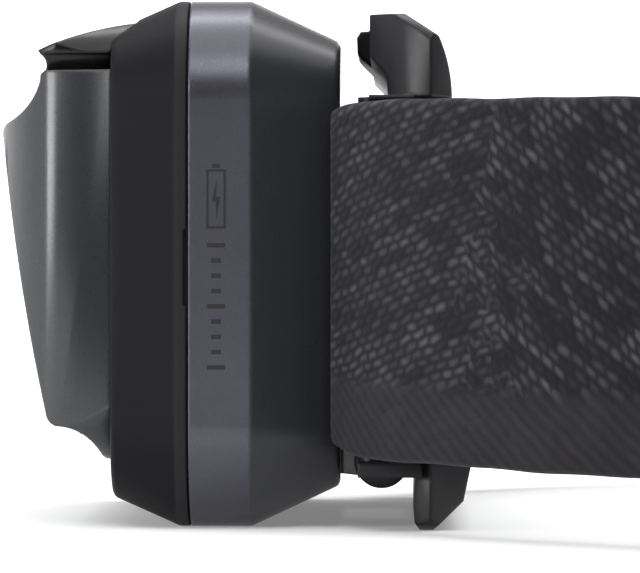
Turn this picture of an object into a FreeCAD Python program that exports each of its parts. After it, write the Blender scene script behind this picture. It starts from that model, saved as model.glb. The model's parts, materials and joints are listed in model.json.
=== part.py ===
import FreeCAD, Part
import math
import os
import Sketcher

# Headlamp on an elastic headband, standing on its underside.
# +Z is up, the beam points along -Y, and +X is the wearer's left.
# The lamp's own frame has y = 0 on the parting plane between its two halves.

os.makedirs("parts", exist_ok=True)
doc = FreeCAD.newDocument("Headlamp")

# ---------------------------------------------------------------- driving dimensions, mm and degrees
sheet = doc.addObject("Spreadsheet::Sheet", "Size")
DIMENSIONS = [
    ("parting_y", -85.64, "parting plane in the whole object's frame"),
    ("half_width", 30.0, "lamp body, half of its width"),
    ("body_height", 39.15, "lamp body, height"),
    ("body_corner", 7.5, "corner radius seen from the front"),
    ("wall", 1.5, "wall of both shells"),
    ("front_flat", 0.9, "straight rim of the front housing"),
    ("front_depth", 5.9, "front housing, parting plane to front plane"),
    ("groove", 0.17, "shadow gap round the parting line, width"),
    ("seal_room", 1.15, "straight room for the seal inside the front housing"),
    ("front_slope", 24.0, "slope of the front housing's rim"),
    ("band_depth", 4.5, "straight band of the rear cover"),
    ("rear_depth", 11.1, "rear cover, parting plane to back plane"),
    ("rear_slope", 25.0, "slope of the rear cover's rim"),
    ("soft_edge", 0.7, "rounding of outer edges"),
    ("cell_radius", 5.25, "AAA cell"),
    ("cell_length", 43.3, "AAA cell without its button"),
    ("cell_pitch", 11.0, "spacing of the cells"),
    ("cell_depth", 4.45, "cell axis behind the parting plane"),
    ("spring_length", 3.4, "contact leaf, length when a cell presses on it"),
    ("cell_middle", 19.5, "height of the middle cell"),
    ("cover_half", 25.4, "front cover, half width at the housing"),
    ("cover_low", 4.9, "front cover, lowest edge"),
    ("cover_high", 34.0, "front cover, top edge under the brow"),
    ("cover_corner", 6.0, "front cover, corner radius"),
    ("cover_wall", 1.6, "front cover, wall"),
    ("brow_high", 37.6, "brow trim, top of its ears"),
    ("ear_back", 4.05, "brow trim's ears, how far forward of the parting plane they end"),
    ("ear_root", 35.85, "height where the ears leave the housing's front plane"),
    ("ear_gap", 7.6, "room between the ears for the press button, half width"),
    ("optic_y", -12.75, "centre of the lens window, depth"),
    ("optic_z", 19.3, "centre of the lens window, height"),
    ("optic_tilt", 9.7, "forward lean of the optics"),
    ("window_half", 18.2, "lens window, half width"),
    ("window_high", 8.4, "lens window, half height"),
    ("lens_thick", 1.5, "lens window, thickness"),
    ("bowl_radius", 7.4, "reflector bowl, mouth radius"),
    ("bowl_depth", 4.0, "reflector bowl, depth"),
    ("side_led_x", 13.2, "side lamps from the middle"),
    ("door_x", -31.3, "axis of the opening hinge"),
    ("door_radius", 1.25, "knuckle of the opening hinge"),
    ("pin_radius", 0.6, "pin of the opening hinge"),
    ("running", 0.05, "running clearance round a pin"),
    ("tilt_y", 14.15, "axis of the tilt hinge, depth"),
    ("tilt_z", 4.9, "axis of the tilt hinge, height"),
    ("tilt_radius", 2.05, "barrel of the tilt hinge"),
    ("tilt_pin", 0.95, "pin of the tilt hinge"),
    ("lug_in", 10.0, "lamp lug, inner face"),
    ("lug_out", 16.6, "lamp lug, outer face"),
    ("barrel_out", 23.8, "bracket barrel, outer face"),
    ("play", 0.3, "gap beside a moving lug"),
    ("plate_half", 24.8, "bracket plate, half width"),
    ("arm_half", 32.2, "bracket arms, half width"),
    ("bracket_high", 37.9, "top of the bracket's hook"),
    ("bar_x", 29.2, "strap bar from the middle"),
    ("bar_y", 13.75, "strap bar, depth"),
    ("bar_radius", 1.3, "strap bar"),
    ("strap_wide", 26.0, "elastic strap, width"),
    ("strap_thick", 1.5, "elastic strap, thickness"),
    ("strap_low", 5.35, "strap's lower edge at the bar"),
    ("fold_radius", 2.55, "strap's middle line round the bar"),
    ("leave_angle", 22.0, "strap's direction where it leaves the bar"),
    ("side_radius", 70.0, "strap's bend at the temples"),
    ("layer_gap", 1.95, "middle lines of the two layers, apart"),
    ("tail_near", 112.0, "near layer ends at this depth"),
    ("strap_back", 185.6, "outer face of the strap at the back"),
    ("slider_y", 84.0, "slider's front edge at rest"),
    ("slider_long", 15.0, "slider, length along the strap"),
    ("button_y", -3.5, "middle of the press button, depth"),
    ("button_long", 13.0, "press button, length"),
    ("button_wide", 3.0, "press button, width"),
    ("flap_long", 11.6, "socket flap, length"),
    ("flap_wide", 3.5, "socket flap, width"),
    ("flap_thick", 0.9, "socket flap, thickness"),
]
for row, (alias, number, note) in enumerate(DIMENSIONS, start=1):
    sheet.set("A%d" % row, note)
    sheet.set("B%d" % row, str(number))
    sheet.setAlias("B%d" % row, alias)
doc.recompute()


def value(expression):
    """The number that an expression on the sheet gives now."""
    result = sheet.evalExpression(expression)
    return float(getattr(result, "Value", result))


def bind(thing, **bound):
    """Bind properties of one object to expressions; a double underscore stands for a dot."""
    for name, expression in bound.items():
        thing.setExpression(name.replace("__", "."), expression)
    return thing


# ---------------------------------------------------------------- places
HOME = ("0", "Size.parting_y", "0")
OPTICS = ("0", "Size.parting_y + Size.optic_y", "Size.optic_z")
TOP_SLOPE_Z = "Size.body_height - (-Size.button_y - Size.front_flat) * tan(Size.front_slope)"
LOW_SLOPE_Z = "(-Size.button_y - Size.front_flat) * tan(Size.front_slope)"
TOP_SLOPE = ("0", "Size.parting_y + Size.button_y", TOP_SLOPE_Z)
LOW_SLOPE = ("0", "Size.parting_y + Size.button_y", LOW_SLOPE_Z)
IN_TOP_SLOPE = ("0", "Size.button_y", TOP_SLOPE_Z)
IN_LOW_SLOPE = ("0", "Size.button_y", LOW_SLOPE_Z)


def place(thing, spot=HOME, turn="0", axis=(1, 0, 0)):
    """Put an object at a bound spot, turned about one axis by a bound angle."""
    spin = FreeCAD.Rotation(FreeCAD.Vector(*axis), value(turn))
    thing.Placement = FreeCAD.Placement(FreeCAD.Vector(*[value(part) for part in spot]), spin)
    bind(thing, Placement__Base__x=spot[0], Placement__Base__y=spot[1], Placement__Base__z=spot[2])
    if turn != "0":
        bind(thing, Placement__Rotation__Angle=turn)
    return thing


NODES = []


def finish(thing, name, spot=HOME, turn="0"):
    """Name a finished sub-part, put it in its place and list it for writing."""
    place(thing, spot, turn)
    thing.Label = name
    NODES.append(thing)
    return thing


# ---------------------------------------------------------------- sketches and features
def new_body(name):
    return doc.addObject("PartDesign::Body", name + "_body")


def sketch_on(body, name, plane, offset="0"):
    """A sketch on one of the body's own origin planes, moved along the plane's normal."""
    sketch = body.newObject("Sketcher::SketchObject", name)
    for candidate in body.Origin.OriginFeatures:
        if candidate.Role == plane:
            sketch.AttachmentSupport = (candidate, [""])
    sketch.MapMode = "FlatFace"
    bind(sketch, AttachmentOffset__Base__z=offset)
    return sketch


def free_sketch(name, turn_axis=None, turn=0.0):
    """A sketch of its own for a plain extrusion: XY as it stands, XZ or YZ when turned."""
    sketch = doc.addObject("Sketcher::SketchObject", name)
    if turn_axis:
        sketch.Placement = FreeCAD.Placement(FreeCAD.Vector(), FreeCAD.Rotation(turn_axis, turn))
    return sketch


def arc_between(start, end, radius, side):
    """Arc from start to end; side +1 bulges to the left of the way from start to end."""
    chord = end - start
    half = chord.Length / 2.0
    left = FreeCAD.Vector(-chord.y, chord.x, 0).normalize()
    height = math.sqrt(max(radius * radius - half * half, 0.0))
    centre = (start + end) * 0.5 - left * (side * height)
    first = math.atan2(start.y - centre.y, start.x - centre.x)
    last = math.atan2(end.y - centre.y, end.x - centre.x)
    circle = Part.Circle(centre, FreeCAD.Vector(0, 0, 1), radius)
    if side > 0:
        return Part.ArcOfCircle(circle, last, first)
    return Part.ArcOfCircle(circle, first, last)


def outline(sketch, corners):
    """Closed outline. A corner is (x, y), or (x, y, radius, side) where an arc leads to the next one."""
    count = len(corners)
    spots = [FreeCAD.Vector(value(corner[0]), value(corner[1]), 0) for corner in corners]
    ends = []
    base = sketch.GeometryCount
    for index, corner in enumerate(corners):
        start = spots[index]
        end = spots[(index + 1) % count]
        if len(corner) == 2:
            sketch.addGeometry(Part.LineSegment(start, end))
            ends.append((1, 2))
            continue
        sketch.addGeometry(arc_between(start, end, value(corner[2]), corner[3]))
        ends.append((2, 1) if corner[3] > 0 else (1, 2))
        bound = sketch.addConstraint(Sketcher.Constraint("Radius", base + index, value(corner[2])))
        sketch.setExpression("Constraints[%d]" % bound, corner[2])
    for index, corner in enumerate(corners):
        after = (index + 1) % count
        here = base + index
        first = ends[index][0]
        join = Sketcher.Constraint("Coincident", here, ends[index][1], base + after, ends[after][0])
        sketch.addConstraint(join)
        for kind, number, expression in (("DistanceX", spots[index].x, corner[0]),
                                         ("DistanceY", spots[index].y, corner[1])):
            bound = sketch.addConstraint(Sketcher.Constraint(kind, -1, 1, here, first, number))
            sketch.setExpression("Constraints[%d]" % bound, expression)
    return sketch


def rounded(half, low, high, radius):
    """Corners of a rectangle with round corners, centred on x = 0."""
    left = "-(%s)" % half
    left_in = "-(%s) + %s" % (half, radius)
    right_in = "%s - (%s)" % (half, radius)
    low_in = "%s + %s" % (low, radius)
    high_in = "%s - (%s)" % (high, radius)
    return [(left_in, low), (right_in, low, radius, -1), (half, low_in), (half, high_in, radius, -1),
            (right_in, high), (left_in, high, radius, -1), (left, high_in), (left, low_in, radius, -1)]


def circle(sketch, x, y, radius):
    """A full circle, bound at its centre and radius."""
    centre = FreeCAD.Vector(value(x), value(y), 0)
    added = sketch.addGeometry(Part.Circle(centre, FreeCAD.Vector(0, 0, 1), value(radius)))
    for kind, number, expression in (("DistanceX", centre.x, x), ("DistanceY", centre.y, y)):
        bound = sketch.addConstraint(Sketcher.Constraint(kind, -1, 1, added, 3, number))
        sketch.setExpression("Constraints[%d]" % bound, expression)
    bound = sketch.addConstraint(Sketcher.Constraint("Radius", added, value(radius)))
    sketch.setExpression("Constraints[%d]" % bound, radius)
    return sketch


def volume_of(body):
    """The body's volume, or nothing while it is still empty."""
    return 0.0 if body.Shape.isNull() else body.Shape.Volume


def pad(body, sketch, length, reverse=False, slope=None, both=False):
    """Pad a sketch and check that the solid grows."""
    before = volume_of(body)
    feature = body.newObject("PartDesign::Pad", "pad")
    feature.Profile = sketch
    feature.Reversed = reverse
    if both:
        feature.SideType = "Symmetric"
    bind(feature, Length=length)
    if slope:
        bind(feature, TaperAngle="-(%s)" % slope)
    doc.recompute()
    assert volume_of(body) > before, "pad adds nothing: " + sketch.Name
    return feature


def pocket(body, sketch, length, reverse=False, slope=None, both=False):
    """Pocket a sketch and check that the solid shrinks."""
    before = volume_of(body)
    feature = body.newObject("PartDesign::Pocket", "pocket")
    feature.Profile = sketch
    feature.Reversed = reverse
    if both:
        feature.SideType = "Symmetric"
    bind(feature, Length=length)
    if slope:
        bind(feature, TaperAngle="-(%s)" % slope)
    doc.recompute()
    assert volume_of(body) < before, "pocket cuts nothing: " + sketch.Name
    return feature


def soften(body, feature, radius, wanted):
    """Fillet the edges of the feature that the test picks."""
    names = ["Edge%d" % (index + 1) for index, edge in enumerate(feature.Shape.Edges) if wanted(edge)]
    assert names, "no edges to soften on " + body.Name
    fillet = body.newObject("PartDesign::Fillet", "fillet")
    fillet.Base = (feature, names)
    bind(fillet, Radius=radius)
    doc.recompute()
    return fillet


# ---------------------------------------------------------------- primitives
def box(name, low, size):
    """A block from its low corner and its size, all bound."""
    block = doc.addObject("Part::Box", name)
    bind(block, Length=size[0], Width=size[1], Height=size[2])
    return place(block, low)


def block_about(name, x, y, z, size):
    """A block centred on a spot."""
    low = ["%s - (%s) / 2" % pair for pair in zip((x, y, z), size)]
    return box(name, low, size)


def rod(name, spot, radius, length, along="z"):
    """A cylinder from a spot, along one of the axes."""
    piece = doc.addObject("Part::Cylinder", name)
    bind(piece, Radius=radius, Height=length)
    turns = {"z": ("0", (1, 0, 0)), "x": ("90", (0, 1, 0)), "y": ("-90", (1, 0, 0))}
    turn, axis = turns[along]
    return place(piece, spot, turn, axis)


def cut(name, base, *tools):
    """Base minus every tool."""
    result = doc.addObject("Part::Cut", name)
    result.Base = base
    result.Tool = tools[0] if len(tools) == 1 else fuse(name + "_tools", *tools)
    return result


def fuse(name, *pieces):
    """Every piece joined; separate pieces stay separate solids."""
    result = doc.addObject("Part::MultiFuse", name)
    result.Shapes = list(pieces)
    return result


def group(name, *pieces):
    """Separate solids kept together, each as it is."""
    result = doc.addObject("Part::Compound", name)
    result.Links = list(pieces)
    return result


def common(name, *pieces):
    """What all the pieces share."""
    result = doc.addObject("Part::MultiCommon", name)
    result.Shapes = list(pieces)
    return result


def extrude(name, sketch, direction, ahead, behind="0"):
    """A sketch of its own extruded both ways along a direction."""
    solid = doc.addObject("Part::Extrusion", name)
    solid.Base = sketch
    solid.DirMode = "Custom"
    solid.Dir = FreeCAD.Vector(*direction)
    solid.Solid = True
    bind(solid, LengthFwd=ahead, LengthRev=behind)
    return solid


SIDE_TURN = (FreeCAD.Vector(1, 1, 1), 120.0)
FRONT_TURN = (FreeCAD.Vector(1, 0, 0), 90.0)


def side_sketch(name, corners):
    """A free sketch in the YZ plane: its x is the object's y, its y is the object's z."""
    return outline(free_sketch(name, *SIDE_TURN), corners)


def front_sketch(name, corners):
    """A free sketch in the XZ plane."""
    return outline(free_sketch(name, *FRONT_TURN), corners)


def in_plane(edge, y):
    """True if an edge lies in the plane at this y."""
    bounds = edge.BoundBox
    return abs(bounds.YMin - y) < 1e-4 and abs(bounds.YMax - y) < 1e-4


# ---------------------------------------------------------------- shared outlines and tools
def oval(half, wide):
    """An oval outline with round ends, centred on the origin, x along its length."""
    straight = "%s - (%s)" % (half, wide)
    return [("-(%s)" % straight, "-(%s)" % wide), (straight, "-(%s)" % wide, "1.0001 * (%s)" % wide, -1),
            (straight, wide), ("-(%s)" % straight, wide, "1.0001 * (%s)" % wide, -1)]


def oval_tool(name, spot, turn, half, wide, depth):
    """An upright oval prism that cuts from just outside a sloped wall to a depth inside it."""
    prism = extrude(name, outline(free_sketch(name + "_sketch"), oval(half, wide)), (0, 0, 1), "1", depth)
    return place(prism, spot, turn)


def cover_screw_spots():
    """Where the four screws that hold the front cover start, in the front wall."""
    start = "-Size.front_depth - 2.6"
    return [("21.2", start, "7.4"), ("-21.2", start, "7.4"),
            ("18.6", start, "33"), ("-18.6", start, "33")]


# ---------------------------------------------------------------- front housing
def make_front_housing():
    """Black ring shell: straight rim, sloped shoulder, front wall with the optics opening."""
    body = new_body("front_housing")
    rim = outline(sketch_on(body, "front_rim", "XZ_Plane"),
                  rounded("Size.half_width", "0", "Size.body_height", "Size.body_corner"))
    pad(body, rim, "Size.front_flat")
    shoulder = outline(sketch_on(body, "front_shoulder", "XZ_Plane", "Size.front_flat"),
                       rounded("Size.half_width", "0", "Size.body_height", "Size.body_corner"))
    sloped = pad(body, shoulder, "Size.front_depth - Size.front_flat", slope="Size.front_slope")
    front = -value("Size.front_depth")
    knee = -value("Size.front_flat")
    eased = soften(body, sloped, "Size.soft_edge", lambda edge: in_plane(edge, front))
    eased = soften(body, eased, "1.4 * Size.soft_edge", lambda edge: in_plane(edge, knee))
    hollow = outline(sketch_on(body, "front_hollow", "XZ_Plane"),
                     rounded("Size.half_width - Size.wall", "Size.wall", "Size.body_height - Size.wall",
                             "Size.body_corner - Size.wall"))
    pocket(body, hollow, "Size.seal_room", reverse=True)
    deep = outline(sketch_on(body, "front_deep", "XZ_Plane", "Size.seal_room"),
                   rounded("Size.half_width - Size.wall", "Size.wall", "Size.body_height - Size.wall",
                           "Size.body_corner - Size.wall"))
    pocket(body, deep, "Size.front_depth - Size.wall - Size.seal_room", reverse=True,
           slope="Size.front_slope - 3")
    opening = outline(sketch_on(body, "optics_opening", "XZ_Plane"),
                      rounded("Size.cover_half - 4", "Size.cover_low + 3.6", "Size.cover_high - 2", "3"))
    pocket(body, opening, "2 * Size.front_depth", reverse=True)
    notch = outline(sketch_on(body, "thumb_notch", "XY_Plane", "16.5"),
                    [("Size.half_width + 1", "-0.36"), ("Size.half_width + 1", "0.5"),
                     ("Size.half_width - 0.7", "0.5"), ("Size.half_width - 0.5", "-0.36")])
    pocket(body, notch, "5.6", reverse=True)
    groove = outline(sketch_on(body, "parting_groove", "XZ_Plane"),
                     rounded("Size.half_width + 1", "-1", "Size.body_height + 1", "Size.body_corner + 1"))
    outline(groove, rounded("Size.half_width - 0.4", "0.4", "Size.body_height - 0.4",
                            "Size.body_corner - 0.4"))
    pocket(body, groove, "Size.groove", reverse=True)
    knuckle = circle(sketch_on(body, "door_knuckle", "XY_Plane", "14.2"),
                     "Size.door_x", "0", "Size.door_radius")
    pad(body, knuckle, "10.6")
    web = outline(sketch_on(body, "door_web", "XY_Plane", "14.2"),
                  [("Size.door_x", "-Size.door_radius"), ("-Size.half_width + 1.2", "-1.4"),
                   ("-Size.half_width + 1.2", "-0.1"), ("Size.door_x", "-0.1")])
    pad(body, web, "10.6")
    for name, spot in (("low", "5.8"), ("high", "24.8")):
        room = circle(sketch_on(body, "knuckle_room_" + name, "XY_Plane", spot),
                      "Size.door_x", "0", "Size.door_radius + 0.3")
        pocket(body, room, "8.4", reverse=True)
    bore = circle(sketch_on(body, "door_bore", "XY_Plane", "13"),
                  "Size.door_x", "0", "Size.pin_radius + Size.running")
    pocket(body, bore, "13", reverse=True)
    tools = [oval_tool("button_hole", IN_TOP_SLOPE, "Size.front_slope", "Size.button_long / 2 + 0.15",
                       "Size.button_wide / 2 + 0.15", "4"),
             oval_tool("flap_recess", IN_LOW_SLOPE, "180 - Size.front_slope", "Size.flap_long / 2 + 0.35",
                       "Size.flap_wide / 2 + 0.2", "Size.flap_thick + 0.15"),
             oval_tool("socket_hole", IN_LOW_SLOPE, "180 - Size.front_slope", "4.9", "1.5", "7")]
    for index, spot in enumerate(cover_screw_spots()):
        tools.append(rod("screw_hole_%d" % index, spot, "0.8", "6", along="y"))
    for name, ahead, behind in (("near", "40", "-Size.ear_gap"), ("far", "-Size.ear_gap", "40")):
        step = side_sketch("ear_step_" + name, [("-Size.front_depth", "Size.ear_root"),
                                                ("-Size.ear_back + 0.1", "Size.brow_high + 0.04"),
                                                ("-Size.ear_back + 0.1", "Size.body_height"),
                                                ("-Size.front_depth - 1", "Size.body_height"),
                                                ("-Size.front_depth - 1", "Size.ear_root")])
        tools.append(extrude("ear_cut_" + name, step, (1, 0, 0), ahead, behind))
    return cut("front_housing_shape", body, *tools)


# ---------------------------------------------------------------- rear cover
def make_rear_cover():
    """Grey shell: straight band, sloped rim, flat back, tilt lugs and opening-hinge knuckles."""
    body = new_body("rear_cover")
    band = outline(sketch_on(body, "rear_band", "XZ_Plane"),
                   rounded("Size.half_width", "0", "Size.body_height", "Size.body_corner"))
    pad(body, band, "Size.band_depth", reverse=True)
    rim = outline(sketch_on(body, "rear_rim", "XZ_Plane", "-Size.band_depth"),
                  rounded("Size.half_width", "0", "Size.body_height", "Size.body_corner"))
    sloped = pad(body, rim, "Size.rear_depth - Size.band_depth", reverse=True, slope="Size.rear_slope")
    knee = value("Size.band_depth")
    back = value("Size.rear_depth")
    eased = soften(body, sloped, "Size.soft_edge", lambda edge: in_plane(edge, back))
    eased = soften(body, eased, "1.2 * Size.soft_edge", lambda edge: in_plane(edge, knee))
    hollow = outline(sketch_on(body, "rear_hollow", "XZ_Plane"),
                     rounded("Size.half_width - Size.wall", "Size.wall", "Size.body_height - Size.wall",
                             "Size.body_corner - Size.wall"))
    pocket(body, hollow, "Size.band_depth - 0.4")
    deep = outline(sketch_on(body, "rear_deep", "XZ_Plane", "-(Size.band_depth - 0.4)"),
                   rounded("Size.half_width - Size.wall", "Size.wall", "Size.body_height - Size.wall",
                           "Size.body_corner - Size.wall"))
    pocket(body, deep, "Size.rear_depth - Size.band_depth - Size.wall + 0.55", slope="Size.rear_slope")
    for side in ("", "-"):
        first = "-Size.lug_out" if side else "Size.lug_in"
        lug = sketch_on(body, "lug" + ("_far" if side else "_near"), "YZ_Plane", first)
        outline(lug, [("Size.rear_depth - 0.4", "Size.tilt_z - 1.15"),
                      ("Size.tilt_y - 1.75", "Size.tilt_z - 1.35"),
                      ("Size.tilt_y - 1.75", "Size.tilt_z + 1.35"),
                      ("Size.rear_depth - 0.4", "Size.tilt_z + 5.2")])
        pad(body, lug, "Size.lug_out - Size.lug_in")
        eye = sketch_on(body, "eye" + ("_far" if side else "_near"), "YZ_Plane", first)
        circle(eye, "Size.tilt_y", "Size.tilt_z", "Size.tilt_radius")
        pad(body, eye, "Size.lug_out - Size.lug_in")
    bore = circle(sketch_on(body, "tilt_bore", "YZ_Plane"), "Size.tilt_y", "Size.tilt_z",
                  "Size.tilt_pin + Size.running")
    pocket(body, bore, "3 * Size.half_width", both=True)
    for name, spot in (("low", "6.1"), ("high", "25.1")):
        knuckle = circle(sketch_on(body, "rear_knuckle_" + name, "XY_Plane", spot),
                         "Size.door_x", "0", "Size.door_radius")
        pad(body, knuckle, "7.8")
        web = outline(sketch_on(body, "rear_web_" + name, "XY_Plane", spot),
                      [("Size.door_x", "Size.door_radius"), ("-Size.half_width + 1.2", "1.4"),
                       ("-Size.half_width + 1.2", "0.1"), ("Size.door_x", "0.1")])
        pad(body, web, "7.8")
    room = circle(sketch_on(body, "rear_knuckle_room", "XY_Plane", "13.9"),
                  "Size.door_x", "0", "Size.door_radius + 0.3")
    pocket(body, room, "11.2", reverse=True)
    pin_bore = circle(sketch_on(body, "rear_pin_bore", "XY_Plane", "5"),
                      "Size.door_x", "0", "Size.pin_radius")
    pocket(body, pin_bore, "30", reverse=True)
    return body


# ---------------------------------------------------------------- front cover and brow
COVER_SIDE = [("-Size.front_depth", "Size.cover_low"),
              ("-6.5", "Size.cover_low"),
              ("-6.8", "5.2", "3.6", -1),
              ("-10.1", "7.45", "1.1", 1),
              ("-10.9", "8.4", "190", 1),
              ("-14.36", "29.0", "0.9", 1),
              ("-13.9", "30.2", "4.6", -1),
              ("-11.35", "33.2"),
              ("-11.3", "Size.cover_high - 0.3"),
              ("-10.95", "Size.cover_high"),
              ("-Size.front_depth", "Size.cover_high")]


def cover_plan(name, inset, back="-Size.front_depth + 1"):
    """Plan outline of the cover, drawn in by an inset, as far back as asked."""
    half = "(Size.cover_half - %s)" % inset
    corners = [("-%s" % half, back),
               ("-%s + 1.3" % half, "-10 + %s" % inset, "7.0", -1),
               ("-%s + 7.6" % half, "-14.6 + %s" % inset),
               ("%s - 7.6" % half, "-14.6 + %s" % inset, "7.0", -1),
               ("%s - 1.3" % half, "-10 + %s" % inset),
               ("%s" % half, back)]
    sketch = outline(free_sketch(name + "_sketch"), corners)
    return extrude(name, sketch, (0, 0, 1), "Size.body_height", "1")


def make_front_cover():
    """Smoky shell with scooped top and bottom, open behind, with a lens window through its face."""
    side = extrude("cover_side", side_sketch("cover_side_sketch", COVER_SIDE), (1, 0, 0), "40", "40")
    face = front_sketch("cover_face_sketch",
                        rounded("Size.cover_half", "Size.cover_low", "Size.cover_high + 4",
                                "Size.cover_corner"))
    front = extrude("cover_face", face, (0, -1, 0), "30", "0")
    outer = common("cover_outer", side, front, cover_plan("cover_plan", "0"))
    inner_side = side_sketch("cover_inner_sketch",
                             [("-Size.front_depth + 1", "Size.cover_low + 3.6"),
                              ("-8.6", "Size.cover_low + 4.1"),
                              ("-9.3", "10.6"),
                              ("-12.4", "28.6"),
                              ("-9.6", "Size.cover_high - 2"),
                              ("-Size.front_depth + 1", "Size.cover_high - 2")])
    inner_long = extrude("cover_inner_long", inner_side, (1, 0, 0), "40", "40")
    inner = common("cover_inner", inner_long, cover_plan("cover_inner_plan", "2 * Size.cover_wall"))
    window_sketch = front_sketch("window_sketch",
                                 rounded("Size.window_half", "-Size.window_high",
                                         "Size.window_high", "5"))
    window = extrude("window_cut", window_sketch, (0, -1, 0), "8", "2")
    placed = place(window, ("0", "Size.optic_y", "Size.optic_z"), "Size.optic_tilt")
    rebate_sketch = front_sketch("rebate_sketch",
                                 rounded("Size.window_half + 0.9", "-Size.window_high - 0.9",
                                         "Size.window_high + 0.9", "5.9"))
    rebate = extrude("rebate_cut", rebate_sketch, (0, -1, 0), "-0.45", "4")
    seat = place(rebate, ("0", "Size.optic_y", "Size.optic_z"), "Size.optic_tilt")
    pilots = [rod("pilot_%d" % index, spot, "0.62", "6", along="y")
              for index, spot in enumerate(cover_screw_spots())]
    return cut("front_cover_shape", outer, inner, placed, seat, *pilots)


def make_brow():
    """Peaked trim above the cover, with a groove along its front and both sides."""
    profile = side_sketch("brow_sketch",
                          [("-Size.front_depth", "Size.cover_high"),
                           ("-10.95", "Size.cover_high", "0.95", -1),
                           ("-11.3", "Size.cover_high + 1.2"),
                           ("-11.5", "Size.cover_high + 1.5", "26", 1),
                           ("-Size.ear_back", "Size.brow_high"),
                           ("-Size.front_depth", "Size.ear_root + 0.04")])
    long_piece = extrude("brow_long", profile, (1, 0, 0), "40", "40")
    face = front_sketch("brow_face_sketch",
                        rounded("Size.cover_half", "Size.cover_low", "Size.brow_high + 0.6",
                                "Size.cover_corner"))
    front = extrude("brow_face", face, (0, -1, 0), "30", "0")
    plan = cover_plan("brow_plan", "0", "-Size.ear_back + 1")
    outer = common("brow_outer", long_piece, front, plan)
    grooves = [box("button_room", ("-Size.ear_gap - 0.15", "-Size.front_depth", "Size.cover_high"),
                   ("2 * Size.ear_gap + 0.3", "4", "8"))]
    for name, sign in (("near", 1), ("far", -1)):
        groove_sketch = front_sketch("groove_" + name + "_sketch",
                                     [("%d * (Size.cover_half - 2.4)" % sign, "Size.cover_high - 0.2"),
                                      ("%d * (Size.cover_half + 3)" % sign, "Size.cover_high - 0.2"),
                                      ("%d * (Size.cover_half + 3)" % sign, "Size.cover_high + 1.25"),
                                      ("%d * (Size.cover_half - 1.9)" % sign, "Size.cover_high + 1.25")])
        grooves.append(extrude("groove_" + name, groove_sketch, (0, -1, 0), "30", "0"))
    return cut("brow_trim_shape", outer, *grooves)


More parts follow.
